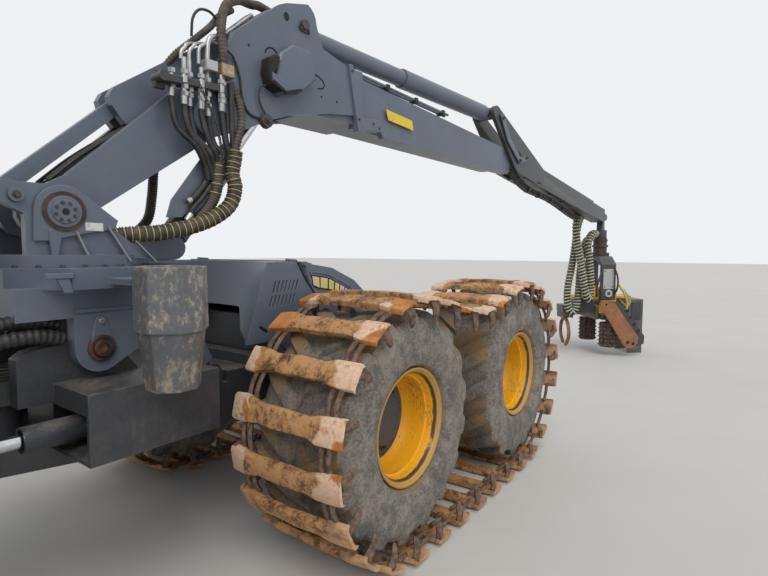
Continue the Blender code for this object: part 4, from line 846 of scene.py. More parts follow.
def slab(outline, near, far, chamfer=0.004):
    """A plate cut to an outline in the crane's plane, between two sides y, with its edges taken off."""
    outline = np.asarray(outline, float)
    before = outline - np.roll(outline, 1, axis=0)
    after = np.roll(outline, -1, axis=0) - outline
    inward = before / np.linalg.norm(before, axis=1)[:, None] - after / np.linalg.norm(after, axis=1)[:,
        None]
    size = np.maximum(np.linalg.norm(inward, axis=1)[:, None], 1e-6)
    turning = np.sign(before[:, 0] * after[:, 1] - before[:, 1] * after[:, 0])[:, None]
    area = np.sign(np.sum(outline[:, 0] * np.roll(outline[:, 1], -1) - outline[:,
        1] * np.roll(outline[:, 0], -1)))
    inset = outline - inward / size * turning * area * chamfer
    inset = np.where(size > 1e-3, inset, outline)
    step = chamfer * np.sign(far - near)
    rows = [(inset, near), (outline, near + step), (outline, far - step), (inset, far)]
    points = np.stack([np.stack([shape[:, 0], np.full(len(shape), side), shape[:, 1]], axis=-1) for shape,
        side in rows])
    return points.reshape(-1, 3), closed_tube(4, len(outline))


def block(low, high, chamfer=0.004):
    """A rectangular bar between two corners in the crane's plane."""
    (left, near, bottom), (right, far, top) = low, high
    return slab([(left, bottom), (right, bottom), (right, top), (left, top)], near, far, chamfer)


def crane_piece(name, shapes, body, material, crease=35.0):
    """A piece whose shapes are in the crane's plane, put in the world."""
    return make_piece(name, shapes, body, material, (), crease, on_crane)


def bent_piece(name, shapes, material, bend, crease=35.0):
    """A hose or sleeve at one joint, made on the bend's low body and then set free with its place baked in;
    the bend's high body and two places are not used.
    """
    low_body, high_body, start, end = bend
    made = crane_piece(name, shapes, low_body, material, crease)
    made.parent = None
    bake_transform(made)
    return made


rubber = Finish("hose_rubber", "tyre_rubber", Roughness=0.55)
film = rubber.noise(14.0, 6.0, 0.65)
lint = rubber.noise(90.0, 4.0)
hose_colour = rubber.mix(film.step(0.40, 0.70), (0.018, 0.018, 0.020), (0.060, 0.056, 0.052))
hose_colour = rubber.mix(lint.step(0.62, 0.72) * 0.5, hose_colour, (0.16, 0.14, 0.11))
hose_rubber = rubber.done(hose_colour, roughness=film * 0.3 + 0.38, height=lint, depth=0.0006)

wrap = Finish("sleeve_plastic", "shroud_plastic", Roughness=0.6)
film = wrap.noise(10.0, 6.0, 0.65)
lint = wrap.noise(80.0, 4.0)
wrap_colour = wrap.mix(film.step(0.35, 0.65), (0.040, 0.034, 0.030), (0.115, 0.095, 0.080))
wrap_colour = wrap.mix(lint.step(0.60, 0.70) * 0.5, wrap_colour, (0.24, 0.20, 0.15))
sleeve_plastic = wrap.done(wrap_colour, roughness=film * 0.3 + 0.42, height=lint, depth=0.0008)

ring_yellow = two_tone("ring_yellow", "head_yellow", (25.0, 6.0, 0.65), (0.45, 0.66), (0.62, 0.52, 0.15),
    (0.30, 0.24, 0.11), 0.0005, Roughness=0.5)
# Near-black: the real black of rubber seals, bezels, the wiper, mesh, bars, seams and the elbow lamp, and
# painted shade where it is laid over holes, slots and the exhaust's mouth.
dark = Finish("dark_recess", "crane_grey", Roughness=0.8)
film = dark.noise(30.0, 5.0)
dark_recess = dark.done(dark.mix(film, (0.008, 0.008, 0.009), (0.028, 0.026, 0.026)), height=film,
    depth=0.001)

plate_yellow = two_tone("blank_plate_yellow", "head_yellow", (12.0, 7.0, 0.7), (0.50, 0.72),
    (0.86, 0.62, 0.04), (0.42, 0.33, 0.14), 0.0004, Roughness=0.45)
plate_pale = two_tone("blank_strip_yellow", "head_yellow", (14.0, 7.0, 0.7), (0.46, 0.60),
    (0.80, 0.66, 0.16), (0.72, 0.68, 0.50), 0.0004, Roughness=0.4)
plate_white = two_tone("blank_plate_white", "crane_grey", (14.0, 7.0, 0.7), (0.52, 0.74),
    (0.74, 0.75, 0.76), (0.44, 0.42, 0.39), 0.0004, Roughness=0.4)
tan_block = two_tone("brass_block", "worn_steel", (22.0, 6.0, 0.7), (0.4, 0.65), (0.55, 0.43, 0.31),
    (0.30, 0.21, 0.14), 0.0008, Metallic=0.5, Roughness=0.5)
bolt_steel = two_tone("bolt_iron", "worn_steel", (60.0, 6.0, 0.7), (0.48, 0.70), (0.075, 0.078, 0.085),
    (0.20, 0.115, 0.065), 0.0008, Metallic=0.3, Roughness=0.6)

# Columns: low body, high body, and where the bend starts and ends
KNEE_BEND = ("turret", "lift_arm", (0.45, -0.3, 1.9), (0.62, -0.3, 2.45))
UPPER_BEND = ("lift_arm", "main_boom", (0.80, -0.3, 2.45), (0.80, -0.3, 2.80))
JIB_BEND = ("jib", "telescope", (5.5, 0, 2.7), (7.9, 0, 2.5))

BULKHEAD_Y = -0.275
# Columns: fitting top (u, z), fitting low, hose middle, hose gather
RUNS = (
    ((0.530, 2.920), (0.524, 2.777), (0.546, 2.595), (0.701, 2.401)),
    ((0.589, 2.990), (0.582, 2.736), (0.608, 2.561), (0.733, 2.395)),
    ((0.640, 2.990), (0.636, 2.741), (0.658, 2.560), (0.765, 2.390)),
    ((0.694, 2.960), (0.690, 2.731), (0.725, 2.534), (0.792, 2.400)),
    ((0.757, 2.965), (0.755, 2.707), (0.778, 2.533), (0.820, 2.416)),
    ((0.826, 2.950), (0.825, 2.745), (0.838, 2.533), (0.853, 2.420)),
    ((0.862, 2.945), (0.860, 2.752), (0.867, 2.547), (0.880, 2.430)),
    ((0.893, 2.960), (0.892, 2.914), (0.886, 2.560), (0.905, 2.438)),
)
hoses = []
fittings = []
for number, (top, low, middle, gather) in enumerate(RUNS):
    side = BULKHEAD_Y - 0.035 * (number % 2)
    path = [(low[0], side, low[1]), (low[0] + 0.004, side, low[1] - 0.06),
        (middle[0], side - 0.02, middle[1]),
            ((middle[0] + gather[0]) / 2 + 0.01, -0.33, (middle[1] + gather[1]) / 2),
            (gather[0], -0.31, gather[1]),
            (gather[0] + 0.03, -0.30, gather[1] - 0.09)]
    hoses.append(tube(path, 0.0175, 10, 6))
    if number < 7:
        height = [top[1], top[1] - 0.05, 2.885, 2.884, 2.845, 2.844, low[1] + 0.035, low[1] + 0.034,
            low[1] - 0.012]
        wide = [0.013, 0.013, 0.013, 0.021, 0.021, 0.015, 0.015, 0.0185, 0.0185]
        line = np.array([(top[0] + (low[0] - top[0]) * (top[1] - z) / (top[1] - low[1]), side,
            z) for z in height])
        fittings.append(sweep(line, np.array(wide), 12))
        for z in (2.91, 2.825, low[1] + 0.05):
            fittings.append(sweep([(top[0], side, z + 0.012), (top[0], side, z - 0.012)], 0.022, 6))
bent_piece("knee_hoses", hoses, hose_rubber, UPPER_BEND, 50)
crane_piece("knee_fittings", fittings, "main_boom", zinc_plate, 40)

pipes = []
for top, bend, height in ((0.589, 0.640, 3.062), (0.640, 0.694, 3.079), (0.700, 0.770, 3.105)):
    pipes.append(tube([(top, BULKHEAD_Y, 2.99), (top + 0.003, BULKHEAD_Y, height - 0.03),
        (top + 0.025, BULKHEAD_Y, height),
                               (bend, BULKHEAD_Y + 0.01, height + 0.030),
                               (bend + 0.11, -0.20, height + 0.075), (bend + 0.20, -0.12, height + 0.12)],
                               0.0105, 10, 6))
pipes.append(tube([(0.757, BULKHEAD_Y, 3.01), (0.765, BULKHEAD_Y, 3.13), (0.790, BULKHEAD_Y, 3.175),
    (0.850, -0.24, 3.205),
                           (0.960, -0.13, 3.275), (1.14, -0.10, 3.44), (1.22, -0.08, 3.50)], 0.015, 10, 6))
for side in (-0.135, -0.10, -0.06):
    pipes.append(sweep([(0.93, side, 3.245), (1.18, side, 3.475)], 0.012, 8))
crane_piece("knee_pipes", pipes, "main_boom", zinc_plate, 40)

bar = [slab([(0.452, 2.838), (0.470, 2.828), (0.835, 2.850), (0.850, 2.862), (0.835, 2.888), (0.470, 2.872),
    (0.452, 2.858)], -0.235, -0.325)]
bar.append(slab([(0.44, 2.80), (0.50, 2.80), (0.50, 2.90), (0.44, 2.90)], -0.222, -0.26))
bar.append(sweep([(0.462, -0.33, 2.855), (0.462, -0.222, 2.855)], 0.030, 14))
bar.append(slab([(0.835, 2.83), (0.90, 2.83), (0.90, 2.90), (0.835, 2.90)], -0.195, -0.30))
crane_piece("bulkhead_bar", bar, "main_boom", frame_paint)
crane_piece("bulkhead_block", [block((0.722, -0.33, 2.955), (0.798, -0.255, 3.020), 0.006)], "main_boom",
    zinc_plate)
crane_piece("bulkhead_manifold", [block((0.825, -0.335, 2.945), (0.907, -0.255, 3.020), 0.006)],
    "main_boom", tan_block)

links = []
for number in range(26):
    share = number / 25
    place = np.array([0.660 + 0.135 * share + 0.03 * math.sin(share * math.pi), -0.36,
        2.832 - 0.405 * share])
    angle = np.arange(11) * 2 * math.pi / 10
    wide = np.array([math.cos(0.3), 0.0, 0.0]) if number % 2 else np.array([0.0, 1.0, 0.0])
    ring = place + np.cos(angle)[:, None] * wide * 0.0085 + np.sin(angle)[:,
        None] * np.array([0.25, 0.0, -0.97]) * 0.0135
    links.append(sweep(ring, 0.0032, 5, False))
bent_piece("knee_chain", links, bolt_steel, UPPER_BEND, 60)

GATHER = [(0.905, -0.33, 2.50), (0.896, -0.33, 2.44), (0.880, -0.33, 2.36), (0.888, -0.345, 2.27),
    (0.842, -0.35, 2.16),
          (0.730, -0.34, 2.075), (0.582, -0.32, 2.017), (0.438, -0.30, 1.985), (0.330, -0.285, 1.972),
          (0.245, -0.27, 1.965), (0.13, -0.25, 1.95)]
SECOND = [(0.800, -0.30, 2.46), (0.790, -0.30, 2.39), (0.790, -0.30, 2.305), (0.778, -0.29, 2.22),
    (0.725, -0.27, 2.12),
          (0.62, -0.23, 2.03), (0.50, -0.21, 1.99), (0.36, -0.20, 1.98)]
THIRD = [(0.770, -0.22, 2.44), (0.745, -0.21, 2.33), (0.690, -0.20, 2.22), (0.645, -0.19, 2.12),
    (0.56, -0.17, 2.03), (0.44, -0.15, 1.97)]
BEHIND = [(0.640, 0.20, 2.48), (0.634, 0.20, 2.39), (0.619, 0.20, 2.23), (0.585, 0.20, 2.08),
    (0.48, 0.19, 1.98), (0.36, 0.17, 1.93)]
for name, path, radius in (("main", GATHER, 0.046), ("second", SECOND, 0.038), ("third", THIRD, 0.032),
        ("far", BEHIND, 0.032)):
    bent_piece(f"knee_sleeve_{name}", [ribbed(path, radius, 0.016, 0.10)], sleeve_plastic, KNEE_BEND, 70)
yellow_rings = rings(GATHER, 0.0475, 0.036, 0.004) + rings(SECOND[:4], 0.0395, 0.055, 0.005)
bent_piece("knee_sleeve_rings", yellow_rings, ring_yellow, KNEE_BEND, 50)
far_hoses = []
for number in range(4):
    shift = number * 0.028
    far_hoses.append(tube([(0.60 + shift, 0.215, 2.75), (0.61 + shift, 0.215, 2.60),
        (0.625 + shift * 0.5, 0.205, 2.45), (0.63 + shift * 0.3, 0.20, 2.38)], 0.012, 8, 5))
bent_piece("knee_hoses_far", far_hoses, hose_rubber, UPPER_BEND, 50)

ELBOW_SLEEVE = [(0.915, -0.275, 2.93), (0.953, -0.30, 2.83), (0.955, -0.33, 2.71), (0.925, -0.34, 2.60),
    (0.893, -0.34, 2.50)]
bent_piece("knee_sleeve_upper", [ribbed(ELBOW_SLEEVE, 0.027, 0.024, 0.16)], sleeve_plastic, UPPER_BEND, 70)

OVER_ELBOW = [(0.860, -0.29, 3.02), (0.860, -0.28, 3.14), (0.866, -0.26, 3.27), (0.915, -0.22, 3.395),
    (0.985, -0.18, 3.475),
              (1.085, -0.14, 3.535), (1.20, -0.10, 3.560), (1.30, -0.05, 3.600), (1.45, 0.0, 3.615)]
UNDER_ELBOW = [(0.585, -0.085, 2.985), (0.640, -0.13, 3.070), (0.752, -0.17, 3.185), (0.850, -0.17, 3.285),
    (0.93, -0.14, 3.38), (1.06, -0.08, 3.48)]
crane_piece("boom_sleeve_long", [ribbed(OVER_ELBOW, 0.030, 0.024, 0.14)], "main_boom", sleeve_plastic, 70)
crane_piece("boom_sleeve_low", [ribbed(UNDER_ELBOW, 0.022, 0.020, 0.14)], "main_boom", sleeve_plastic, 70)
loops = [
    tube([(0.70, -0.20, 3.17), (0.70, -0.22, 3.27), (0.745, -0.22, 3.335), (0.82, -0.21, 3.35),
    (0.88, -0.20, 3.32)], 0.0085, 8, 6),
    tube([(0.895, -0.27, 3.13), (0.955, -0.255, 3.10), (1.00, -0.250, 3.00), (1.02, -0.249, 2.86),
    (1.07, -0.249, 2.78), (1.17, -0.249, 2.76), (1.245, -0.25, 2.75)], 0.007, 8, 6),
    tube([(1.20, -0.27, 2.99), (1.145, -0.265, 2.96), (1.14, -0.262, 2.88), (1.19, -0.260, 2.80),
    (1.255, -0.255, 2.775)], 0.007, 8, 6),
]
crane_piece("boom_small_hoses", loops, "main_boom", hose_rubber, 50)


# Elbow and boom side: folded guard over a work lamp, pin keepers, a blank plate, pipes under the cylinder.

BOOM_SIDE = -0.2395
elbow = [
    slab([(1.263, 3.135), (1.285, 3.215), (1.397, 3.301), (1.560, 3.295), (1.606, 3.118), (1.449, 2.982),
    (1.250, 3.013)], BOOM_SIDE, BOOM_SIDE - 0.075, 0.012),
    slab([(1.285, 3.045), (1.44, 2.99), (1.30, 2.935), (1.20, 2.985), (1.19, 3.06)], BOOM_SIDE,
    BOOM_SIDE - 0.105, 0.008),
    slab([(1.995, 3.345), (2.040, 3.352), (2.145, 2.86), (2.10, 2.845)], -0.200, -0.262, 0.004),
    slab([(2.085, 2.985), (2.25, 2.985), (2.42, 2.995), (2.52, 2.865), (2.475, 2.855), (2.44, 2.90),
    (2.10, 2.872)], -0.150, -0.210, 0.005),
]
crane_piece("elbow_guard", elbow, "main_boom", graphite_paint)
# Holes and grooves in the boom's side: thin near-black plates and half-sunk tubes of painted shade.
angle = np.arange(24) * 2 * math.pi / 24
hole_shades = [slab(np.stack([1.395 + 0.024 * np.cos(angle), 3.507 + 0.030 * np.sin(angle)], axis=-1),
    BOOM_SIDE, BOOM_SIDE - 0.0016, 0.0005)]
for place in ((1.080, 3.221), (1.719, 3.033), (1.879, 3.031)):
    hole_shades.append(slab(np.stack([place[0] + 0.009 * np.cos(angle), place[1] + 0.009 * np.sin(angle)],
        axis=-1), BOOM_SIDE, BOOM_SIDE - 0.0016, 0.0005))
arc = np.linspace(0.35, 3.0, 12)
slot_path = np.stack([1.262 + 0.052 * np.cos(arc), np.full(12, BOOM_SIDE), 3.205 + 0.052 * np.sin(arc)],
    axis=-1)
hole_shades.append(sweep(slot_path, 0.006, 6))
hole_shades.append(tube([(1.535, BOOM_SIDE, 3.207), (1.70, BOOM_SIDE, 3.170), (1.745, BOOM_SIDE, 3.135),
    (1.735, BOOM_SIDE, 3.100), (1.681, BOOM_SIDE, 3.085)], 0.0055, 6, 5))
crane_piece("elbow_recesses", hole_shades, "main_boom", dark_recess, 40)
lamp_box = [slab([(1.215, 3.050), (1.27, 3.180), (1.225, 3.185), (1.175, 3.150), (1.165, 3.06),
    (1.19, 2.985)], BOOM_SIDE, BOOM_SIDE - 0.095, 0.008)]
lamp_box.append(slab([(1.19, 2.985), (1.30, 2.937), (1.44, 2.990), (1.43, 3.005), (1.30, 2.960),
    (1.20, 3.01)], BOOM_SIDE, BOOM_SIDE - 0.115, 0.004))
crane_piece("elbow_lamp", lamp_box, "main_boom", dark_recess)
keepers = [sweep([(1.550, BOOM_SIDE, 3.497), (1.550, BOOM_SIDE - 0.030, 3.497)], np.array([0.036, 0.033]),
    20)]
keepers.append(slab([(1.50, 3.475), (1.525, 3.448), (1.60, 3.448), (1.60, 3.482)], BOOM_SIDE,
    BOOM_SIDE - 0.014, 0.003))
keepers += nut((1.515, BOOM_SIDE - 0.014, 3.466), -1, 0.012) + nut((1.585, BOOM_SIDE - 0.014, 3.462), -1,
    0.012)
keepers.append(sweep([(1.20, BOOM_SIDE, 2.755), (1.20, BOOM_SIDE - 0.035, 2.755)], np.array([0.050, 0.044]),
    20))
keepers += nut((1.20, BOOM_SIDE - 0.035, 2.755), -1, 0.026)
for place in ((2.03, 3.30), (2.11, 2.94), (2.34, 2.955), (2.42, 2.93)):
    keepers += nut((place[0], -0.262 if place[0] < 2.2 else -0.21, place[1]), -1, 0.011)
crane_piece("elbow_pins", keepers, "main_boom", bolt_steel)
plates = [slab([(2.572, 3.135), (2.950, 3.105), (2.972, 3.018), (2.600, 3.045)], -0.152, -0.156, 0.001)]
crane_piece("boom_plate_near", plates, "main_boom", plate_yellow)
under = []
for side, height in ((-0.125, 0.0), (-0.085, -0.006)):
    under.append(tube([(1.87, side, 3.405 + height), (2.092, side, 3.372 + height),
        (2.55, side, 3.345 + height), (3.04, side, 3.318 + height), (3.60, side, 3.290 + height)], 0.013, 8,
        5))
crane_piece("boom_pipes", under, "main_boom", graphite_paint, 40)
clamps = []
for place, height in ((2.16, 3.362), (2.62, 3.338), (3.04, 3.315), (3.50, 3.292)):
    clamps.append(block((place - 0.018, -0.150, height - 0.024), (place + 0.018, -0.060, height + 0.024),
        0.005))
crane_piece("boom_pipe_clamps", clamps, "main_boom", hose_rubber)

strip = []
for side, lift in ((-0.105, 0.018), (-0.075, 0.026), (0.085, 0.018)):
    strip.append(tube([(-0.06, side, 2.225 + lift), (0.10, side, 2.375 + lift), (0.30, side, 2.530 + lift),
        (0.52, side, 2.690 + lift)], 0.010, 8, 5))
crane_piece("lift_arm_hoses", strip, "lift_arm", hose_rubber, 50)

GUIDE = [(0.655, -0.235, 2.215), (0.690, -0.24, 2.300), (0.760, -0.25, 2.405), (0.745, -0.25, 2.440),
    (0.640, -0.235, 2.305), (0.535, -0.215, 2.155),
         (0.550, -0.215, 2.110), (0.612, -0.225, 2.125), (0.655, -0.235, 2.215)]
bent_piece("hose_guide", [sweep(smooth(GUIDE, 6), 0.009, 8, False)], zinc_plate, KNEE_BEND, 50)
guard = slab([(0.482, 2.073), (0.514, 2.176), (0.702, 2.431), (0.733, 2.426), (0.754, 2.380),
    (0.621, 2.118), (0.580, 2.078)], -0.250, -0.258, 0.002)
bent_piece("hose_guard", [guard], graphite_paint, KNEE_BEND)
FITTED = (((0.595, 2.058), (0.622, 2.097), (0.638, 2.136), (0.686, 2.187), (0.741, 2.259), (0.775, 2.321),
    (0.792, 2.400)),
          ((0.598, 2.171), (0.624, 2.183), (0.677, 2.234), (0.732, 2.316), (0.765, 2.400)))
fitted = [tube([(u, -0.285, z) for u, z in run], 0.0165, 10, 5) for run in FITTED]
bent_piece("fitted_hoses", fitted, hose_rubber, KNEE_BEND, 50)
sockets = [sweep([(u, -0.285, z) for u, z in run[:2]], 0.0205, 12) for run in FITTED]
bent_piece("fitted_hose_sockets", sockets, zinc_plate, KNEE_BEND, 50)


# Turret details: a bolted pin flange, the tie rod's pin, slanting gussets, foot bolts and a blank label.

CHEEK = -0.3695
flange = [sweep([(-0.081, CHEEK - 0.0165, 2.067), (-0.081, CHEEK - 0.021, 2.067)], np.array([0.076, 0.073]),
    32)]
flange.append(sweep([(-0.081, CHEEK - 0.021, 2.067), (-0.081, CHEEK - 0.030, 2.067)],
    np.array([0.058, 0.055]), 32))
crane_piece("turret_pin_flange", flange, "turret", graphite_paint)
bolts = []
for step in range(8):
    angle = step * math.pi / 4 + 0.3
    bolts += nut((-0.081 + 0.043 * math.cos(angle), CHEEK - 0.030, 2.067 + 0.043 * math.sin(angle)), -1,
        0.0095)
bolts += nut((-0.272, CHEEK - 0.014, 2.134), -1, 0.019)
crane_piece("turret_bolts", bolts, "turret", bolt_steel)
# A near-black hexagon at the pin's end: painted shade for its hollow.
hexagon = np.arange(6) * math.pi / 3
pin_hollow_shade = [slab(np.stack([-0.081 + 0.018 * np.cos(hexagon), 2.067 + 0.018 * np.sin(hexagon)], axis=-1),
    CHEEK - 0.029, CHEEK - 0.0325, 0.0008)]
crane_piece("turret_hex", pin_hollow_shade, "turret", dark_recess)
eye = [sweep([(-0.272, CHEEK, 2.134), (-0.272, CHEEK - 0.014, 2.134)], np.array([0.034, 0.031]), 24)]
rim = math.pi * np.linspace(1.02, 0.22, 12)
doubler = [(-0.215, 1.925)] + [(-0.081 + 0.128 * math.cos(step),
    2.067 + 0.128 * math.sin(step)) for step in rim] + [(0.165, 2.035), (0.150, 1.990), (0.02, 1.965),
    (-0.16, 1.925)]
eye.append(slab(doubler, CHEEK, CHEEK - 0.012, 0.004))
eye.append(slab([(-0.145, 1.845), (-0.115, 1.845), (-0.10, 1.945), (-0.135, 1.985), (-0.155, 1.975)], CHEEK,
    CHEEK - 0.020, 0.004))
ribs = []
for top, foot in (((-0.034, 1.972), (0.028, 1.824)), ((0.114, 2.000), (0.219, 1.824)),
        ((0.247, 1.934), (0.355, 1.820))):
    ribs.append(slab([(top[0] - 0.005, top[1]), (top[0] + 0.005, top[1]), (foot[0] + 0.006, foot[1]),
        (foot[0] - 0.007, foot[1])], CHEEK + 0.002, CHEEK - 0.024, 0.002))
crane_piece("turret_doublers", eye, "turret", graphite_paint)
# The gussets wear the lighter grey: painted highlight on their lit edges.
crane_piece("turret_gussets", ribs, "turret", scuffed_paint)
washer = [sweep([(-0.081, CHEEK - 0.0122, 2.067), (-0.081, CHEEK - 0.0162, 2.067)], 0.096, 40)]
crane_piece("turret_pin_washer", washer, "turret", rotator_iron)
feet = []
for u, z in ((-0.178, 1.829), (-0.112, 1.828), (-0.047, 1.832), (0.119, 1.830)):
    feet += nut((u, CHEEK, z), -1, 0.0155)
crane_piece("turret_foot_bolts", feet, "turret", rotator_iron)
crane_piece("turret_label", [slab([(0.008, 1.980), (0.090, 1.978), (0.090, 2.018), (0.008, 2.020)],
    CHEEK - 0.012, CHEEK - 0.014, 0.0008)], "turret", plate_white)
ring_bolts = []
for step in range(30):
    angle = step * 2 * math.pi / 30 + 0.05
    ring_bolts += nut((0.455 * math.cos(angle), 0.455 * math.sin(angle), 1.799), 1, 0.016, "z")
crane_piece("turret_ring_bolts", ring_bolts, "tilt_base", bolt_steel)


# Tip hoses: two spiral-guarded hoses that hang in loops from the telescope's end to the link over the
# rotator. A black hose inside, a cream plastic strip wound round it.

HEAD_TURN = math.radians(-50.0)
TIP = pins["tip_swing"]


def on_head(points):
    """World points from the head's own frame: a along the feed, b across it, height z, under the tip pin."""
    feed, across, height = np.asarray(points, float).reshape(-1, 3).T
    x = TIP[0] + math.cos(HEAD_TURN) * feed - math.sin(HEAD_TURN) * across
    y = TIP[1] + math.sin(HEAD_TURN) * feed + math.cos(HEAD_TURN) * across
    return np.stack([x, y, height], axis=-1)


def head_piece(name, shapes, body, material, crease=35.0):
    """A piece whose shapes are in the head's frame, put in the world."""
    return make_piece(name, shapes, body, material, (), crease, on_head)


def wound(line, radius, thick, around=12):
    """A strip wound round a line: the points of a tube, taken one step round for every step along."""
    wall = sweep(line, radius, around)[0].reshape(len(line), around, 3)
    row = np.arange(len(line))
    return sweep(wall[row, row % around], thick, 5)


cream_plastic = two_tone("cream_spiral", "shroud_plastic", (30.0, 6.0, 0.7), (0.45, 0.66),
    (0.56, 0.55, 0.40), (0.27, 0.25, 0.17), 0.0006, Roughness=0.5)

SPIRAL_STEP = 0.0046
LOOPS = {
    "near": [(-0.554, -0.437, 2.56), (-0.62, -0.455, 2.50), (-0.675, -0.465, 2.38), (-0.675, -0.47, 2.16),
    (-0.615, -0.47, 1.84),
             (-0.530, -0.47, 1.41), (-0.475, -0.465, 1.15), (-0.405, -0.43, 1.03), (-0.345, -0.385, 1.12),
             (-0.345, -0.37, 1.41),
             (-0.375, -0.36, 1.75), (-0.39, -0.33, 1.98), (-0.34, -0.28, 2.12), (-0.26, -0.22, 2.19),
             (-0.10, -0.09, 2.21)],
    "far": [(-0.484, -0.366, 2.55), (-0.55, -0.335, 2.46), (-0.59, -0.315, 2.28), (-0.62, -0.305, 1.95),
    (-0.665, -0.30, 1.60),
            (-0.725, -0.30, 1.26), (-0.735, -0.30, 1.03), (-0.705, -0.30, 0.85), (-0.640, -0.305, 0.77),
            (-0.570, -0.31, 0.86),
            (-0.535, -0.31, 1.10), (-0.505, -0.29, 1.50), (-0.45, -0.25, 1.86), (-0.36, -0.17, 2.04),
            (-0.24, -0.09, 2.12), (-0.10, -0.045, 2.16)],
}
for name, points in LOOPS.items():
    line = evenly(smooth(points, 8), SPIRAL_STEP)
    centre = on_head(line)
    run = np.arange(len(line)) * SPIRAL_STEP
    wide = 0.034 + 0.024 * np.clip(np.minimum(run, run[::-1]) / 0.14, 0, 1)
    core = head_piece(f"tip_hose_{name}", [sweep(line[::4], wide[::4], 16)], "telescope", hose_rubber, 60)
    guard = head_piece(f"tip_hose_spiral_{name}", [wound(line[8:-8], wide[8:-8] + 0.002, 0.0125)],
        "telescope", cream_plastic, 60)
    for made in (core, guard):
        made.parent = None
        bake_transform(made)
    [tuple(point) for point in centre[::12]] + [tuple(centre[-1])]

carrier = [
    sweep([(-0.150, -0.130, 2.205), (-0.105, -0.093, 2.210)], 0.040, 14),
    sweep([(-0.150, -0.062, 2.146), (-0.105, -0.045, 2.160)], 0.040, 14),
    sweep([(-0.12, -0.12, 2.215), (-0.12, -0.04, 2.15)], 0.022, 8),
]
head_piece("hose_carrier", carrier, "tip_link", zinc_plate)
clamp = [sweep([(-0.548, -0.435, 2.566), (-0.590, -0.447, 2.532)], 0.043, 14),
    sweep([(-0.480, -0.368, 2.556), (-0.518, -0.350, 2.505)], 0.043, 14),
         sweep([(-0.60, -0.47, 2.60), (-0.46, -0.36, 2.585)], 0.020, 8)]
head_piece("hose_clamp", clamp, "telescope", zinc_plate)

JIB_HOSES = [(5.06, -0.12, 2.93), (5.25, -0.13, 2.80), (5.55, -0.12, 2.715), (5.95, -0.10, 2.68),
    (6.45, -0.06, 2.645), (7.00, -0.02, 2.565), (7.55, 0.04, 2.49), (7.95, 0.08, 2.46), (8.22, 0.10, 2.53)]
bundle = []
for shift_y, shift_z in ((0.0, 0.0), (0.034, 0.010), (-0.030, 0.018), (0.012, -0.030), (0.05, -0.02)):
    bundle.append(tube([(u, y + shift_y, z + shift_z) for u, y, z in JIB_HOSES], 0.016, 8, 6))
bent_piece("jib_hoses", bundle, hose_rubber, JIB_BEND, 50)
straps = []
for place in (2, 3, 4, 5):
    u, y, z = JIB_HOSES[place]
    straps.append(sweep([(u - 0.012, y + 0.012, z - 0.004), (u + 0.012, y + 0.012, z - 0.004)], 0.052, 16))
bent_piece("jib_hose_straps", straps, frame_paint, JIB_BEND, 50)
near_link = [slab([(4.66, 3.50), (4.74, 3.53), (4.93, 3.27), (5.20, 3.07), (5.40, 3.12), (5.42, 3.06),
    (5.20, 2.99), (4.86, 3.22)], -0.156, -0.176, 0.005)]
crane_piece("jib_link_plate", near_link, "jib", graphite_paint)
link_pins = []
for place in ((4.72, 3.47), (5.20, 3.03), (5.38, 3.09)):
    link_pins += nut((place[0], -0.176, place[1]), -1, 0.024)
crane_piece("jib_link_pins", link_pins, "jib", bolt_steel)


# Head dressings: a rust-orange wear bar with a slotted rail on the near roller arm, spikes on the rollers,
# hydraulic hoses in yellow guards, and worn plates on the hanger.

bar_iron = Finish("bar_rust", "worn_steel", Roughness=0.7)
film = bar_iron.noise(6.0, 8.0, 0.7)
grit = bar_iron.noise(40.0, 6.0, 0.7)
bar_colour = bar_iron.mix(film.step(0.36, 0.62), (0.38, 0.155, 0.060), (0.24, 0.105, 0.055))
bar_colour = bar_iron.mix((film * 0.4 + grit * 0.6).step(0.55, 0.64), bar_colour, (0.33, 0.26, 0.20))
bar_rust = bar_iron.done(bar_colour, roughness=film * 0.3 + 0.45, height=grit, depth=0.002)

BAR_Y = -0.605
wear = [slab([(-0.27, 0.985), (-0.21, 1.020), (-0.10, 1.015), (-0.01, 0.965), (0.44, 0.36), (0.43, 0.24),
    (0.31, 0.155), (0.22, 0.165), (0.15, 0.25), (-0.26, 0.90)], BAR_Y, BAR_Y - 0.030, 0.006)]
wear.append(sweep([(-0.04, -0.42, 0.685), (-0.04, BAR_Y, 0.685)], 0.035, 16))
wear.append(sweep([(0.07, -0.42, 0.685), (0.07, BAR_Y, 0.685)], 0.030, 16))
head_piece("roller_arm_bar", wear, "roller_arm_right", bar_rust)
rail = [slab([(-0.06, 1.00), (0.04, 0.995), (0.12, 0.94), (0.56, 0.38), (0.55, 0.24), (0.44, 0.20),
    (0.42, 0.36), (0.0, 0.95)], BAR_Y + 0.030, BAR_Y - 0.018, 0.006)]
head_piece("roller_arm_rail", rail, "roller_arm_right", frame_paint)
# The rail's slots and the bar's holes are thin near-black plates: painted shade.
slot_shades = []
for step in range(4):
    middle = (0.20 + step * 0.078, 0.835 - step * 0.120)
    slot_shades.append(slab([(middle[0] - 0.035, middle[1] - 0.005), (middle[0] + 0.015, middle[1] + 0.035),
        (middle[0] + 0.040, middle[1] - 0.005), (middle[0] - 0.010, middle[1] - 0.045)], BAR_Y - 0.017,
        BAR_Y - 0.0195, 0.0006))
ring = np.arange(20) * 2 * math.pi / 20
for place, size in (((-0.17, 0.945), 0.022), ((0.245, 0.27), 0.030), ((0.345, 0.245), 0.028)):
    slot_shades.append(slab(np.stack([place[0] + size * np.cos(ring), place[1] + size * np.sin(ring)], axis=-1),
        BAR_Y - 0.0295, BAR_Y - 0.0315, 0.0006))
head_piece("roller_arm_holes", slot_shades, "roller_arm_right", dark_recess)

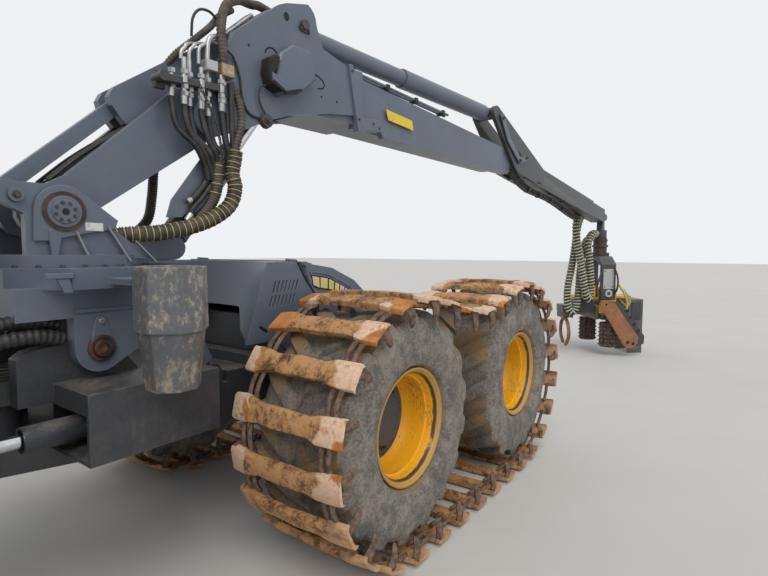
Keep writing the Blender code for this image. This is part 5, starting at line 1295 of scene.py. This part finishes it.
for name, side in (("right", -1), ("left", 1)):
    spikes = []
    for row in range(6):
        for step in range(10):
            angle = 2 * math.pi * (step + 0.25) / 10 + (0.05 if row % 2 else -0.05)
            middle = np.array([0.0, side * 0.40, 0.20 + row * 0.072])
            out = np.array([math.cos(angle), math.sin(angle), 0.0])
            spikes.append(sweep([middle + out * 0.130, middle + out * 0.158, middle + out * 0.172],
                np.array([0.020, 0.013, 0.003]), 6))
    head_piece(f"roller_spikes_{name}", spikes, f"feed_roller_{name}", rusty_links)

guards = [
    tube([(0.20, -0.345, 1.28), (0.27, -0.40, 1.14), (0.33, -0.42, 0.97), (0.32, -0.41, 0.82),
    (0.26, -0.37, 0.80), (0.20, -0.30, 0.90), (0.18, -0.20, 0.98)], 0.021, 10, 6),
    tube([(0.23, -0.345, 1.24), (0.33, -0.38, 1.12), (0.40, -0.38, 0.98), (0.38, -0.34, 0.88),
    (0.34, -0.28, 0.92), (0.30, -0.19, 1.00)], 0.019, 10, 6),
]
head_piece("head_hoses_yellow", guards, "head_body", ring_yellow, 60)
black = [
    tube([(-0.12, -0.345, 1.52), (-0.20, -0.40, 1.36), (-0.24, -0.40, 1.18), (-0.20, -0.34, 1.08),
    (-0.16, -0.22, 1.06)], 0.016, 8, 6),
    tube([(0.10, -0.345, 1.60), (0.125, -0.43, 1.44), (0.13, -0.44, 1.25), (0.11, -0.38, 1.12),
    (0.09, -0.22, 1.06)], 0.016, 8, 6),
    tube([(-0.10, 0.345, 1.55), (-0.18, 0.40, 1.38), (-0.20, 0.40, 1.20), (-0.18, 0.34, 1.10),
    (-0.14, 0.22, 1.06)], 0.016, 8, 6),
]
head_piece("head_hoses_black", black, "rotator", hose_rubber, 60)
plates = []
for side in (-1, 1):
    plates.append(slab([(-0.10, 1.20), (0.10, 1.20), (0.10, 1.56), (-0.10, 1.56)], side * 0.3605,
        side * 0.368, 0.002))
    plates.append(sweep([(0.0, side * 0.3605, 1.12), (0.0, side * 0.385, 1.12)], np.array([0.075, 0.068]),
        24))
head_piece("hanger_plates", plates, "rotator", zinc_plate)
fasteners = []
for side in (-1, 1):
    for place in ((-0.07, 1.24), (0.07, 1.24), (-0.07, 1.52), (0.07, 1.52)):
        fasteners += nut((place[0], side * 0.368, place[1]), side, 0.012)
    fasteners += nut((0.0, side * 0.385, 1.12), side, 0.030)
head_piece("hanger_bolts", fasteners, "rotator", bolt_steel)
cover = []
for side in (-1, 1):
    cover.append(slab([(-0.46, 0.76), (-0.20, 0.76), (-0.20, 1.02), (-0.46, 1.02)], side * 0.2005,
        side * 0.212, 0.006))
    cover.append(slab([(0.20, 0.76), (0.44, 0.76), (0.44, 1.02), (0.20, 1.02)], side * 0.2005, side * 0.212,
        0.006))
    cover.append(slab([(0.52, 0.62), (0.69, 0.62), (0.69, 0.95), (0.52, 0.95)], side * 0.2405, side * 0.250,
        0.006))
head_piece("head_covers", cover, "head_body", frame_paint)
head_bolts = []
for side in (-1, 1):
    for feed in (-0.43, -0.23, 0.23, 0.41):
        for height in (0.79, 0.99):
            head_bolts += nut((feed, side * 0.212, height), side, 0.010)
    for feed, height in ((0.545, 0.65), (0.665, 0.65), (0.545, 0.92), (0.665, 0.92)):
        head_bolts += nut((feed, side * 0.250, height), side, 0.010)
head_piece("head_bolts", head_bolts, "head_body", bolt_steel)
turned = [
    lathe([(-0.005, 0.125), (-0.005, 0.140), (0.030, 0.140), (0.040, 0.125)], (TIP[0], TIP[1], 1.96), 32,
    "z"),
    lathe([(-0.005, 0.121), (-0.005, 0.132), (0.022, 0.132), (0.030, 0.121)], (TIP[0], TIP[1], 2.07), 32,
    "z"),
]
make_piece("rotator_rings", turned, "rotator", rotator_iron)
flange_bolts = []
for step in range(12):
    angle = step * math.pi / 6
    flange_bolts += nut((TIP[0] + 0.148 * math.cos(angle), TIP[1] + 0.148 * math.sin(angle), 1.852), 1,
        0.012, "z")
make_piece("rotator_bolts", flange_bolts, "rotator", bolt_steel)


# Front hood and deck dressings: blank strips in a dark frame, seams, flanges, latches and bolts of the hood,
# bars across its nose, and a bracket under the deck.

def on_machine(points):
    """World points from the machine's own frame, whose x is counted from the slew axis."""
    return np.asarray(points, float).reshape(-1, 3) + np.array((SLEW_X, 0.0, 0.0))


def machine_piece(name, shapes, body, material, crease=35.0):
    """A piece whose shapes are in the machine's frame, put in the world."""
    return make_piece(name, shapes, body, material, (), crease, on_machine)


HOOD_SIDE = 0.600
STRIP_LOW = [(1.350, 1.640), (1.389, 1.619), (1.480, 1.606), (1.587, 1.583), (1.691, 1.539), (1.796, 1.493),
    (1.860, 1.468)]
STRIP_HIGH = [(1.333, 1.716), (1.412, 1.708), (1.498, 1.694), (1.596, 1.657), (1.698, 1.613),
    (1.800, 1.556), (1.880, 1.500)]
low_edge = evenly(smooth([(x, 0.0, z) for x, z in STRIP_LOW], 6), 0.005)[:, ::2]
high_edge = evenly(smooth([(x, 0.0, z) for x, z in STRIP_HIGH], 6), 0.005)[:, ::2]


def along_edge(edge, share):
    """The point at a share of an edge."""
    return edge[int(round(share * (len(edge) - 1)))]


panels = []
strips = {"yellow": [], "white": []}
SLATS = (0.0, 0.14, 0.29, 0.41, 0.52, 0.62, 0.71, 0.79, 0.86, 0.93, 1.0)
for side in (-1, 1):
    face = side * HOOD_SIDE
    border = [along_edge(low_edge, share) for share in np.linspace(0, 1, 12)] + [along_edge(high_edge,
        share) for share in np.linspace(1, 0, 12)]
    panels.append(slab(border, face + side * 0.0005, face + side * 0.004, 0.001))
    for number, (start, end) in enumerate(zip(SLATS[:-1], SLATS[1:])):
        corners = []
        for share, raised in ((start + 0.012, 0.10), (end - 0.012, 0.10), (end - 0.012, 0.90),
                (start + 0.012, 0.90)):
            low = along_edge(low_edge, share)
            corners.append(low + (along_edge(high_edge, share) - low) * raised)
        strips["yellow" if number < 4 else "white"].append(slab(corners, face + side * 0.004,
            face + side * 0.0065, 0.0008))
machine_piece("hood_strip_frame", panels, "front_hood", dark_recess)
machine_piece("hood_strips", strips["yellow"], "front_hood", plate_pale)
machine_piece("hood_strips_white", strips["white"], "front_hood", plate_white)
seams = []
for side in (-1, 1):
    edge = side * (HOOD_SIDE + 0.0003)
    seams.append(sweep([(1.205, edge, 1.806), (1.284, edge, 1.684), (1.402, edge, 1.545),
        (1.405, edge, 1.36), (1.405, edge, 1.195)], 0.0065, 6))
    seams.append(sweep([(1.00, edge, 1.322), (1.10, edge, 1.222), (1.40, edge, 1.222)], 0.0035, 6))
seams.append(sweep([(1.205, -HOOD_SIDE, 1.8105), (1.205, HOOD_SIDE, 1.8105)], 0.0055, 6))
machine_piece("hood_seams", seams, "front_hood", dark_recess, 60)
flanges = []
for side in (-1, 1):
    edge = side * (HOOD_SIDE + 0.0003)
    flanges.append(sweep([(1.222, edge, 1.790), (1.298, edge, 1.678), (1.416, edge, 1.540),
        (1.419, edge, 1.36)], 0.005, 6))
    flanges.append(tube([(1.345, edge, 1.735), (1.412, edge, 1.727), (1.500, edge, 1.712),
        (1.600, edge, 1.676), (1.705, edge, 1.632), (1.810, edge, 1.572), (1.905, edge, 1.500)], 0.0055, 6,
        5))
machine_piece("hood_flanges", flanges, "front_hood", graphite_paint, 60)
latch = []
for side in (-1, 1):
    edge = side * HOOD_SIDE
    latch.append(slab([(1.215, 1.812), (1.330, 1.798), (1.340, 1.750), (1.290, 1.700), (1.262, 1.722),
        (1.255, 1.765)], edge, edge + side * 0.012, 0.004))
    latch.append(slab([(1.250, 1.785), (1.280, 1.780), (1.330, 1.665), (1.305, 1.650)], edge,
        edge + side * 0.020, 0.004))
    latch.append(sweep([(1.262, edge, 1.792), (1.262, edge + side * 0.030, 1.792)],
        np.array([0.020, 0.017]), 16))
    latch.append(sweep([(1.310, edge, 1.735), (1.310, edge + side * 0.026, 1.735)],
        np.array([0.015, 0.012]), 12))
    latch.append(sweep([(1.20, edge - side * 0.10, 1.818), (1.29, edge - side * 0.10, 1.812)], 0.012, 10))
machine_piece("hood_latches", latch, "front_hood", graphite_paint)
studs = []
for side in (-1, 1):
    edge = side * HOOD_SIDE
    for place in ((0.99, 1.345), (1.05, 1.345), (1.20, 1.245), (1.50, 1.245), (1.70, 1.245)):
        studs += nut((place[0], edge, place[1]), side, 0.010)
machine_piece("hood_bolts", studs, "front_hood", bolt_steel)

grille = []
for row in range(7):
    height = 1.245 + row * 0.026
    grille.append(sweep([(2.325 - row * 0.018, -0.42, height), (2.325 - row * 0.018, 0.42, height)], 0.006,
        6))
machine_piece("hood_nose_bars", grille, "front_hood", dark_recess, 60)

bracket = [
    slab([(-0.280, 1.780), (-0.165, 1.780), (-0.165, 1.755), (-0.280, 1.755)], -0.5555, -0.575, 0.004),
    slab([(-0.235, 1.755), (-0.180, 1.755), (-0.165, 1.690), (-0.205, 1.690)], -0.5555, -0.570, 0.003),
]
machine_piece("deck_bracket", bracket, "tilt_base", graphite_paint)


# The tilt pins at the ears: a rusty hollow pin in a thick ring, and the keeper plate that holds it.

EAR_SIDE = 0.450
TILT_PIN_Z = 1.400
rings_of_pin = []
bores = []
keeper = []
for side in (-1, 1):
    face = side * EAR_SIDE
    rings_of_pin.append(lathe([(face, 0.066), (face + side * 0.016, 0.066), (face + side * 0.020, 0.061),
        (face + side * 0.020, 0.048), (face, 0.044)], (0, 0, TILT_PIN_Z), 36))
    rings_of_pin.append(lathe([(face, 0.044), (face + side * 0.030, 0.044), (face + side * 0.033, 0.041),
        (face + side * 0.033, 0.027), (face, 0.025)], (0, 0, TILT_PIN_Z), 36))
    bores.append(capped([(face, 0.027), (face + side * 0.010, 0.027), (face + side * 0.010, 0.002)],
        (0, 0, TILT_PIN_Z), 24))
    keeper.append(slab([(-0.050, 1.440), (-0.026, 1.545), (-0.010, 1.560), (0.010, 1.560), (0.026, 1.545),
        (0.050, 1.440)], face, face + side * 0.012, 0.003))
    keeper.append(slab([(-0.118, 1.600), (0.150, 1.600), (0.160, 1.580), (-0.118, 1.580)], face,
        face + side * 0.010, 0.003))
machine_piece("tilt_pins", rings_of_pin, "tilt_base", rotator_iron)
machine_piece("tilt_pin_bores", bores, "tilt_base", bar_rust)
machine_piece("tilt_pin_keepers", keeper, "tilt_base", graphite_paint)
keeper_bolts = []
for side in (-1, 1):
    keeper_bolts += nut((0.0, side * (EAR_SIDE + 0.012), 1.535), side, 0.017)
machine_piece("tilt_keeper_bolts", keeper_bolts, "tilt_base", zinc_plate)

joint_lines = []
for side, height in ((-0.42, 1.480), (-0.36, 1.545)):
    joint_lines.append(ribbed([(-0.50, side + 0.01, height - 0.02), (-0.42, side, height),
        (-0.33, side - 0.005, height + 0.008), (-0.24, side, height + 0.004),
        (-0.155, side + 0.01, height - 0.02)], 0.036, 0.028, 0.16))
machine_piece("joint_sleeves", joint_lines, "front_frame", hose_rubber, 70)


# Cab dressings: tinted panes in rubber, a door pane and handle, lamp lenses, handrails, a wiper, a roof box.

pane = Finish("tinted_glass", "window_glass", Roughness=0.06, Alpha=0.42, Metallic=0.0)
film = pane.noise(2.2, 6.0, 0.7)
glass = pane.done(pane.mix(film.step(0.45, 0.70), (0.016, 0.022, 0.024), (0.070, 0.072, 0.070)),
    roughness=film * 0.12 + 0.03)
rounded_copy("cab_glass", glass, 0.001)

CAB_TOP = 3.55


def pane_seal(corners):
    """A thin rubber along each edge of a pane."""
    return [sweep([start, end], 0.008, 6) for start, end in zip(corners, corners[1:] + corners[:1])]


door_pane = [slab([(-2.03, 1.955), (-1.27, 1.955), (-1.27, 3.29), (-2.03, 3.29)], -0.722, -0.714, 0.001)]
machine_piece("door_pane", door_pane, "cab_door", glass)
seals = pane_seal([(-2.025, -0.7405, 1.955), (-1.275, -0.7405, 1.955), (-1.275, -0.7405, 3.285),
    (-2.025, -0.7405, 3.285)])
machine_piece("door_seal", seals, "cab_door", dark_recess, 60)
left_loop = [(-2.31, 0.7405, 2.05), (-1.28, 0.7405, 2.05), (-1.28, 0.7405, 3.30), (-2.31, 0.7405, 3.30)]
rear_loop = [(-2.4505, -0.62, 2.30), (-2.4505, 0.62, 2.30), (-2.4505, 0.62, 3.30), (-2.4505, -0.62, 3.30)]
window_seals = pane_seal(left_loop) + pane_seal(rear_loop)
machine_piece("window_seals", window_seals, "rear_frame", dark_recess, 60)

handle = [
    tube([(-1.27, -0.742, 1.86), (-1.27, -0.775, 1.86), (-1.27, -0.780, 1.80), (-1.27, -0.775, 1.74),
    (-1.27, -0.742, 1.74)], 0.010, 8, 5),
    slab([(-1.30, 1.70), (-1.24, 1.70), (-1.24, 1.90), (-1.30, 1.90)], -0.740, -0.746, 0.002),
]
machine_piece("door_handle", handle, "cab_door", hose_rubber, 50)
hinges = []
for height in (1.75, 2.45, 3.15):
    hinges.append(sweep([(-2.098, -0.748, height - 0.06), (-2.098, -0.748, height + 0.06)], 0.014, 10))
machine_piece("door_hinges", hinges, "rear_frame", bolt_steel, 50)
rails = []
for place in (-1.14, -2.16):
    rails.append(tube([(place, -0.741, 1.75), (place, -0.79, 1.77), (place, -0.80, 1.90),
        (place, -0.80, 2.70), (place, -0.79, 2.84), (place, -0.741, 2.86)], 0.013, 10, 6))
machine_piece("cab_handrails", rails, "rear_frame", graphite_paint, 60)

lens_glass = Finish("lamp_lens", "window_glass", Roughness=0.12)
film = lens_glass.noise(60.0, 3.0)
lens_clear = lens_glass.done(lens_glass.mix(film, (0.62, 0.65, 0.68), (0.80, 0.82, 0.84)),
    roughness=film * 0.15 + 0.05, height=film, depth=0.001)
lenses = []
bezels = []
for across in (-0.60, -0.36, -0.12, 0.12, 0.36, 0.60):
    lenses.append(capped([(0.0, 0.043), (0.006, 0.040), (0.010, 0.022)], (-1.0600, across, CAB_TOP - 0.115),
        24, "x"))
    bezels.append(lathe([(-0.001, 0.043), (-0.001, 0.052), (0.012, 0.052), (0.014, 0.047), (0.010, 0.043)],
        (-1.0600, across, CAB_TOP - 0.115), 24, "x"))
machine_piece("cab_lamp_lenses", lenses, "rear_frame", lens_clear, 50)
machine_piece("cab_lamp_bezels", bezels, "rear_frame", dark_recess, 50)
wiper = [
    tube([(-1.055, 0.0, 1.93), (-1.02, 0.05, 2.02), (-1.005, 0.18, 2.30), (-1.02, 0.30, 2.60)], 0.008, 6,
    5),
    sweep([(-0.999, 0.20, 2.24), (-1.052, 0.40, 2.92)], 0.010, 6),
]
machine_piece("cab_wiper", wiper, "rear_frame", dark_recess, 60)
roof = [
    slab([(-2.30, 3.548), (-1.40, 3.548), (-1.46, 3.60), (-2.25, 3.60)], -0.42, 0.42, 0.02),
]
machine_piece("cab_roof_box", roof, "rear_frame", cab_paint)


# Driver's seat: a foam cushion and back with sewn channels in woven black cloth, on a steel pedestal with
# armrests. Each pad is a rounded box: a sphere's directions raised to a power, crowned and grooved.

seat_weave = Finish("seat_cloth", "seat_fabric", Roughness=0.9)
warp = seat_weave.node("ShaderNodeTexWave", {"wave_type": "BANDS", "bands_direction": "Y"},
    {"Vector": seat_weave.place, "Scale": 90.0, "Distortion": 1.5})
weft = seat_weave.node("ShaderNodeTexWave", {"wave_type": "BANDS", "bands_direction": "Z"},
    {"Vector": seat_weave.place, "Scale": 90.0, "Distortion": 1.5})
wear = seat_weave.noise(6.0, 5.0, 0.6)
cloth = seat_weave.mix(wear.step(0.4, 0.7), (0.030, 0.030, 0.034), (0.075, 0.070, 0.066))
seat_cloth = seat_weave.done(cloth, roughness=wear * 0.1 + 0.82, height=warp * 0.5 + weft * 0.5,
    depth=0.0008)


def pad_shape(middle, half, lean, channels, power=0.42):
    """A rounded box: sphere directions with each part raised to a power, crowned on its broad face and
    pinched in lines across it where channels are sewn, then leaned back about the side axis."""
    around = np.linspace(0, 2 * math.pi, 64, endpoint=False)
    upward = np.linspace(-math.pi / 2, math.pi / 2, 41)
    angle, height = np.meshgrid(around, upward, indexing="ij")
    parts = np.stack([np.cos(height) * np.cos(angle), np.cos(height) * np.sin(angle), np.sin(height)],
        axis=-1)
    box = np.sign(parts) * np.abs(parts) ** power
    local = box * np.asarray(half)
    crown = (1 - box[..., 0] ** 2) * (1 - box[..., 1] ** 2)
    groove = np.zeros_like(crown)
    for line in channels:
        groove += np.exp(-((local[..., 0] - line) / 0.010) ** 2)
    local[..., 2] += np.where(box[..., 2] > 0,
        crown * 0.022 - np.clip(groove, 0, 1) * 0.012 * (1 - box[..., 1] ** 2), 0.0)
    along = local[..., 0] * math.cos(lean) - local[..., 2] * math.sin(lean)
    up = local[..., 0] * math.sin(lean) + local[..., 2] * math.cos(lean)
    points = np.stack([middle[0] + along, middle[1] + local[..., 1], middle[2] + up], axis=-1)
    return points.reshape(-1, 3), grid_faces(64, 41, True, False)


cushion = machine_piece("seat_cushion", [pad_shape((-1.80, 0.0, 1.965), (0.255, 0.262, 0.068),
    math.radians(3), (-0.10, 0.04, 0.15))], "rear_frame", seat_cloth, 60)
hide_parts("cab_seat")
backrest = machine_piece("seat_backrest",
    [pad_shape((-2.115, 0.0, 2.345), (0.345, 0.245, 0.062), math.radians(100.5) - math.pi,
    (-0.20, -0.08, 0.04, 0.16))], "rear_frame", seat_cloth, 60)
pedestal = [
    slab([(-1.96, 1.552), (-1.64, 1.552), (-1.68, 1.62), (-1.92, 1.62)], -0.17, 0.17, 0.01),
    lathe([(0.0, 0.10), (0.05, 0.112), (0.10, 0.10), (0.15, 0.112), (0.20, 0.10), (0.25, 0.112),
    (0.28, 0.10), (0.28, 0.02), (0.0, 0.02)], (-1.80, 0.0, 1.615), 24, "z"),
    slab([(-2.00, 1.875), (-1.60, 1.875), (-1.60, 1.905), (-2.00, 1.905)], -0.22, 0.22, 0.008),
]
machine_piece("seat_pedestal", pedestal, "rear_frame", hose_rubber, 40)
arms = []
for side in (-1, 1):
    arms.append(slab([(-2.02, 2.13), (-1.66, 2.13), (-1.60, 2.16), (-1.66, 2.185), (-2.02, 2.18)],
        side * 0.245, side * 0.30, 0.012))
    arms.append(sweep([(-1.66, side * 0.272, 2.185), (-1.655, side * 0.272, 2.23)],
        np.array([0.014, 0.020]), 12))
machine_piece("seat_armrests", arms, "rear_frame", hose_rubber, 40)


# Engine hood and rear frame dressings: mesh behind the grilles, latches, a rusty exhaust tip, rear lamps,
# step treads on the catwalk, and hoses over the steering joint.

mesh_bars = []
for side in (-1, 1):
    for step in range(15):
        place = -3.53 + step * 0.047
        mesh_bars.append(sweep([(place, side * 0.7115, 1.69), (place, side * 0.7115, 2.12)], 0.0035, 5))
for step in range(19):
    place = -0.44 + step * 0.049
    mesh_bars.append(sweep([(-4.4115, place, 1.55), (-4.4115, place, 1.99)], 0.0035, 5))
machine_piece("engine_grille_mesh", mesh_bars, "engine_hood", dark_recess, 60)
hood_parts = []
for side in (-1, 1):
    for place in (-4.10, -2.75):
        hood_parts.append(slab([(place - 0.02, 1.50), (place + 0.02, 1.50), (place + 0.02, 1.60),
            (place - 0.02, 1.60)], side * 0.7205, side * 0.735, 0.003))
        hood_parts.append(sweep([(place, side * 0.728, 1.505), (place, side * 0.728, 1.475)], 0.008, 8))
    hood_parts.append(sweep([(-2.62, side * 0.7202, 2.28), (-4.03, side * 0.7202, 2.28)], 0.004, 6))
    hood_parts.append(sweep([(-3.72, side * 0.7202, 1.47), (-3.72, side * 0.7202, 2.28)], 0.004, 6))
for side in (-1, 1):
    for place in (-3.8, -3.2, -2.9):
        hood_parts.append(slab([(place - 0.05, 2.349), (place + 0.05, 2.349), (place + 0.045, 2.362),
            (place - 0.045, 2.362)], side * 0.50, side * 0.58, 0.004))
machine_piece("engine_hood_fittings", hood_parts, "engine_hood", bolt_steel)
EXHAUST = (-2.80, -0.45)
pipe = [lathe([(0.0, 0.0605), (0.0, 0.068), (0.10, 0.068), (0.10, 0.0605)], (*EXHAUST, 2.40), 24, "z"),
        lathe([(0.0, 0.052), (0.0, 0.064), (0.045, 0.064), (0.05, 0.058), (0.045, 0.050)],
        (*EXHAUST, 2.735), 24, "z")]
machine_piece("exhaust_collars", pipe, "engine_hood", bar_rust, 50)
# A near-black disc in the pipe's mouth: painted shadow.
shadow = [capped([(0.0, 0.050), (0.002, 0.050)], (*EXHAUST, 2.770), 24, "z")]
machine_piece("exhaust_mouth", shadow, "engine_hood", dark_recess, 50)

red = Finish("lamp_red", "window_glass", Roughness=0.2)
film = red.noise(50.0, 3.0)
lamp_red = red.done(red.mix(film, (0.35, 0.012, 0.008), (0.50, 0.03, 0.02)), height=film, depth=0.001)
rear_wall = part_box("rear_frame")[0][0] - SLEW_X
tail = []
for side in (-1, 1):
    low, high = sorted((side * 0.62, side * 0.74))
    tail.append(slab([(rear_wall - 0.008, 1.12), (rear_wall + 0.004, 1.12), (rear_wall + 0.004, 1.20),
        (rear_wall - 0.008, 1.20)], low, high, 0.002))
machine_piece("rear_lamps", tail, "rear_frame", lamp_red)

tread = []
for step in range(16):
    place = -2.38 + step * 0.088
    tread.append(slab([(place, 1.4995), (place + 0.040, 1.4995), (place + 0.034, 1.506),
        (place + 0.006, 1.506)], -1.12, -0.78, 0.001))
machine_piece("catwalk_treads", tread, "rear_frame", zinc_plate)
joint_hoses = []
for number in range(5):
    across = -0.16 + number * 0.08
    joint_hoses.append(tube([(-0.95, across, 1.16), (-0.72, across * 1.1, 1.26),
        (-0.40, across * 1.2, 1.27), (-0.10, across * 1.1, 1.24), (0.08, across, 1.20)], 0.015, 8, 6))
joint_line = machine_piece("joint_hoses", joint_hoses, "rear_frame", hose_rubber, 60)
joint_line.parent = None
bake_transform(joint_line)
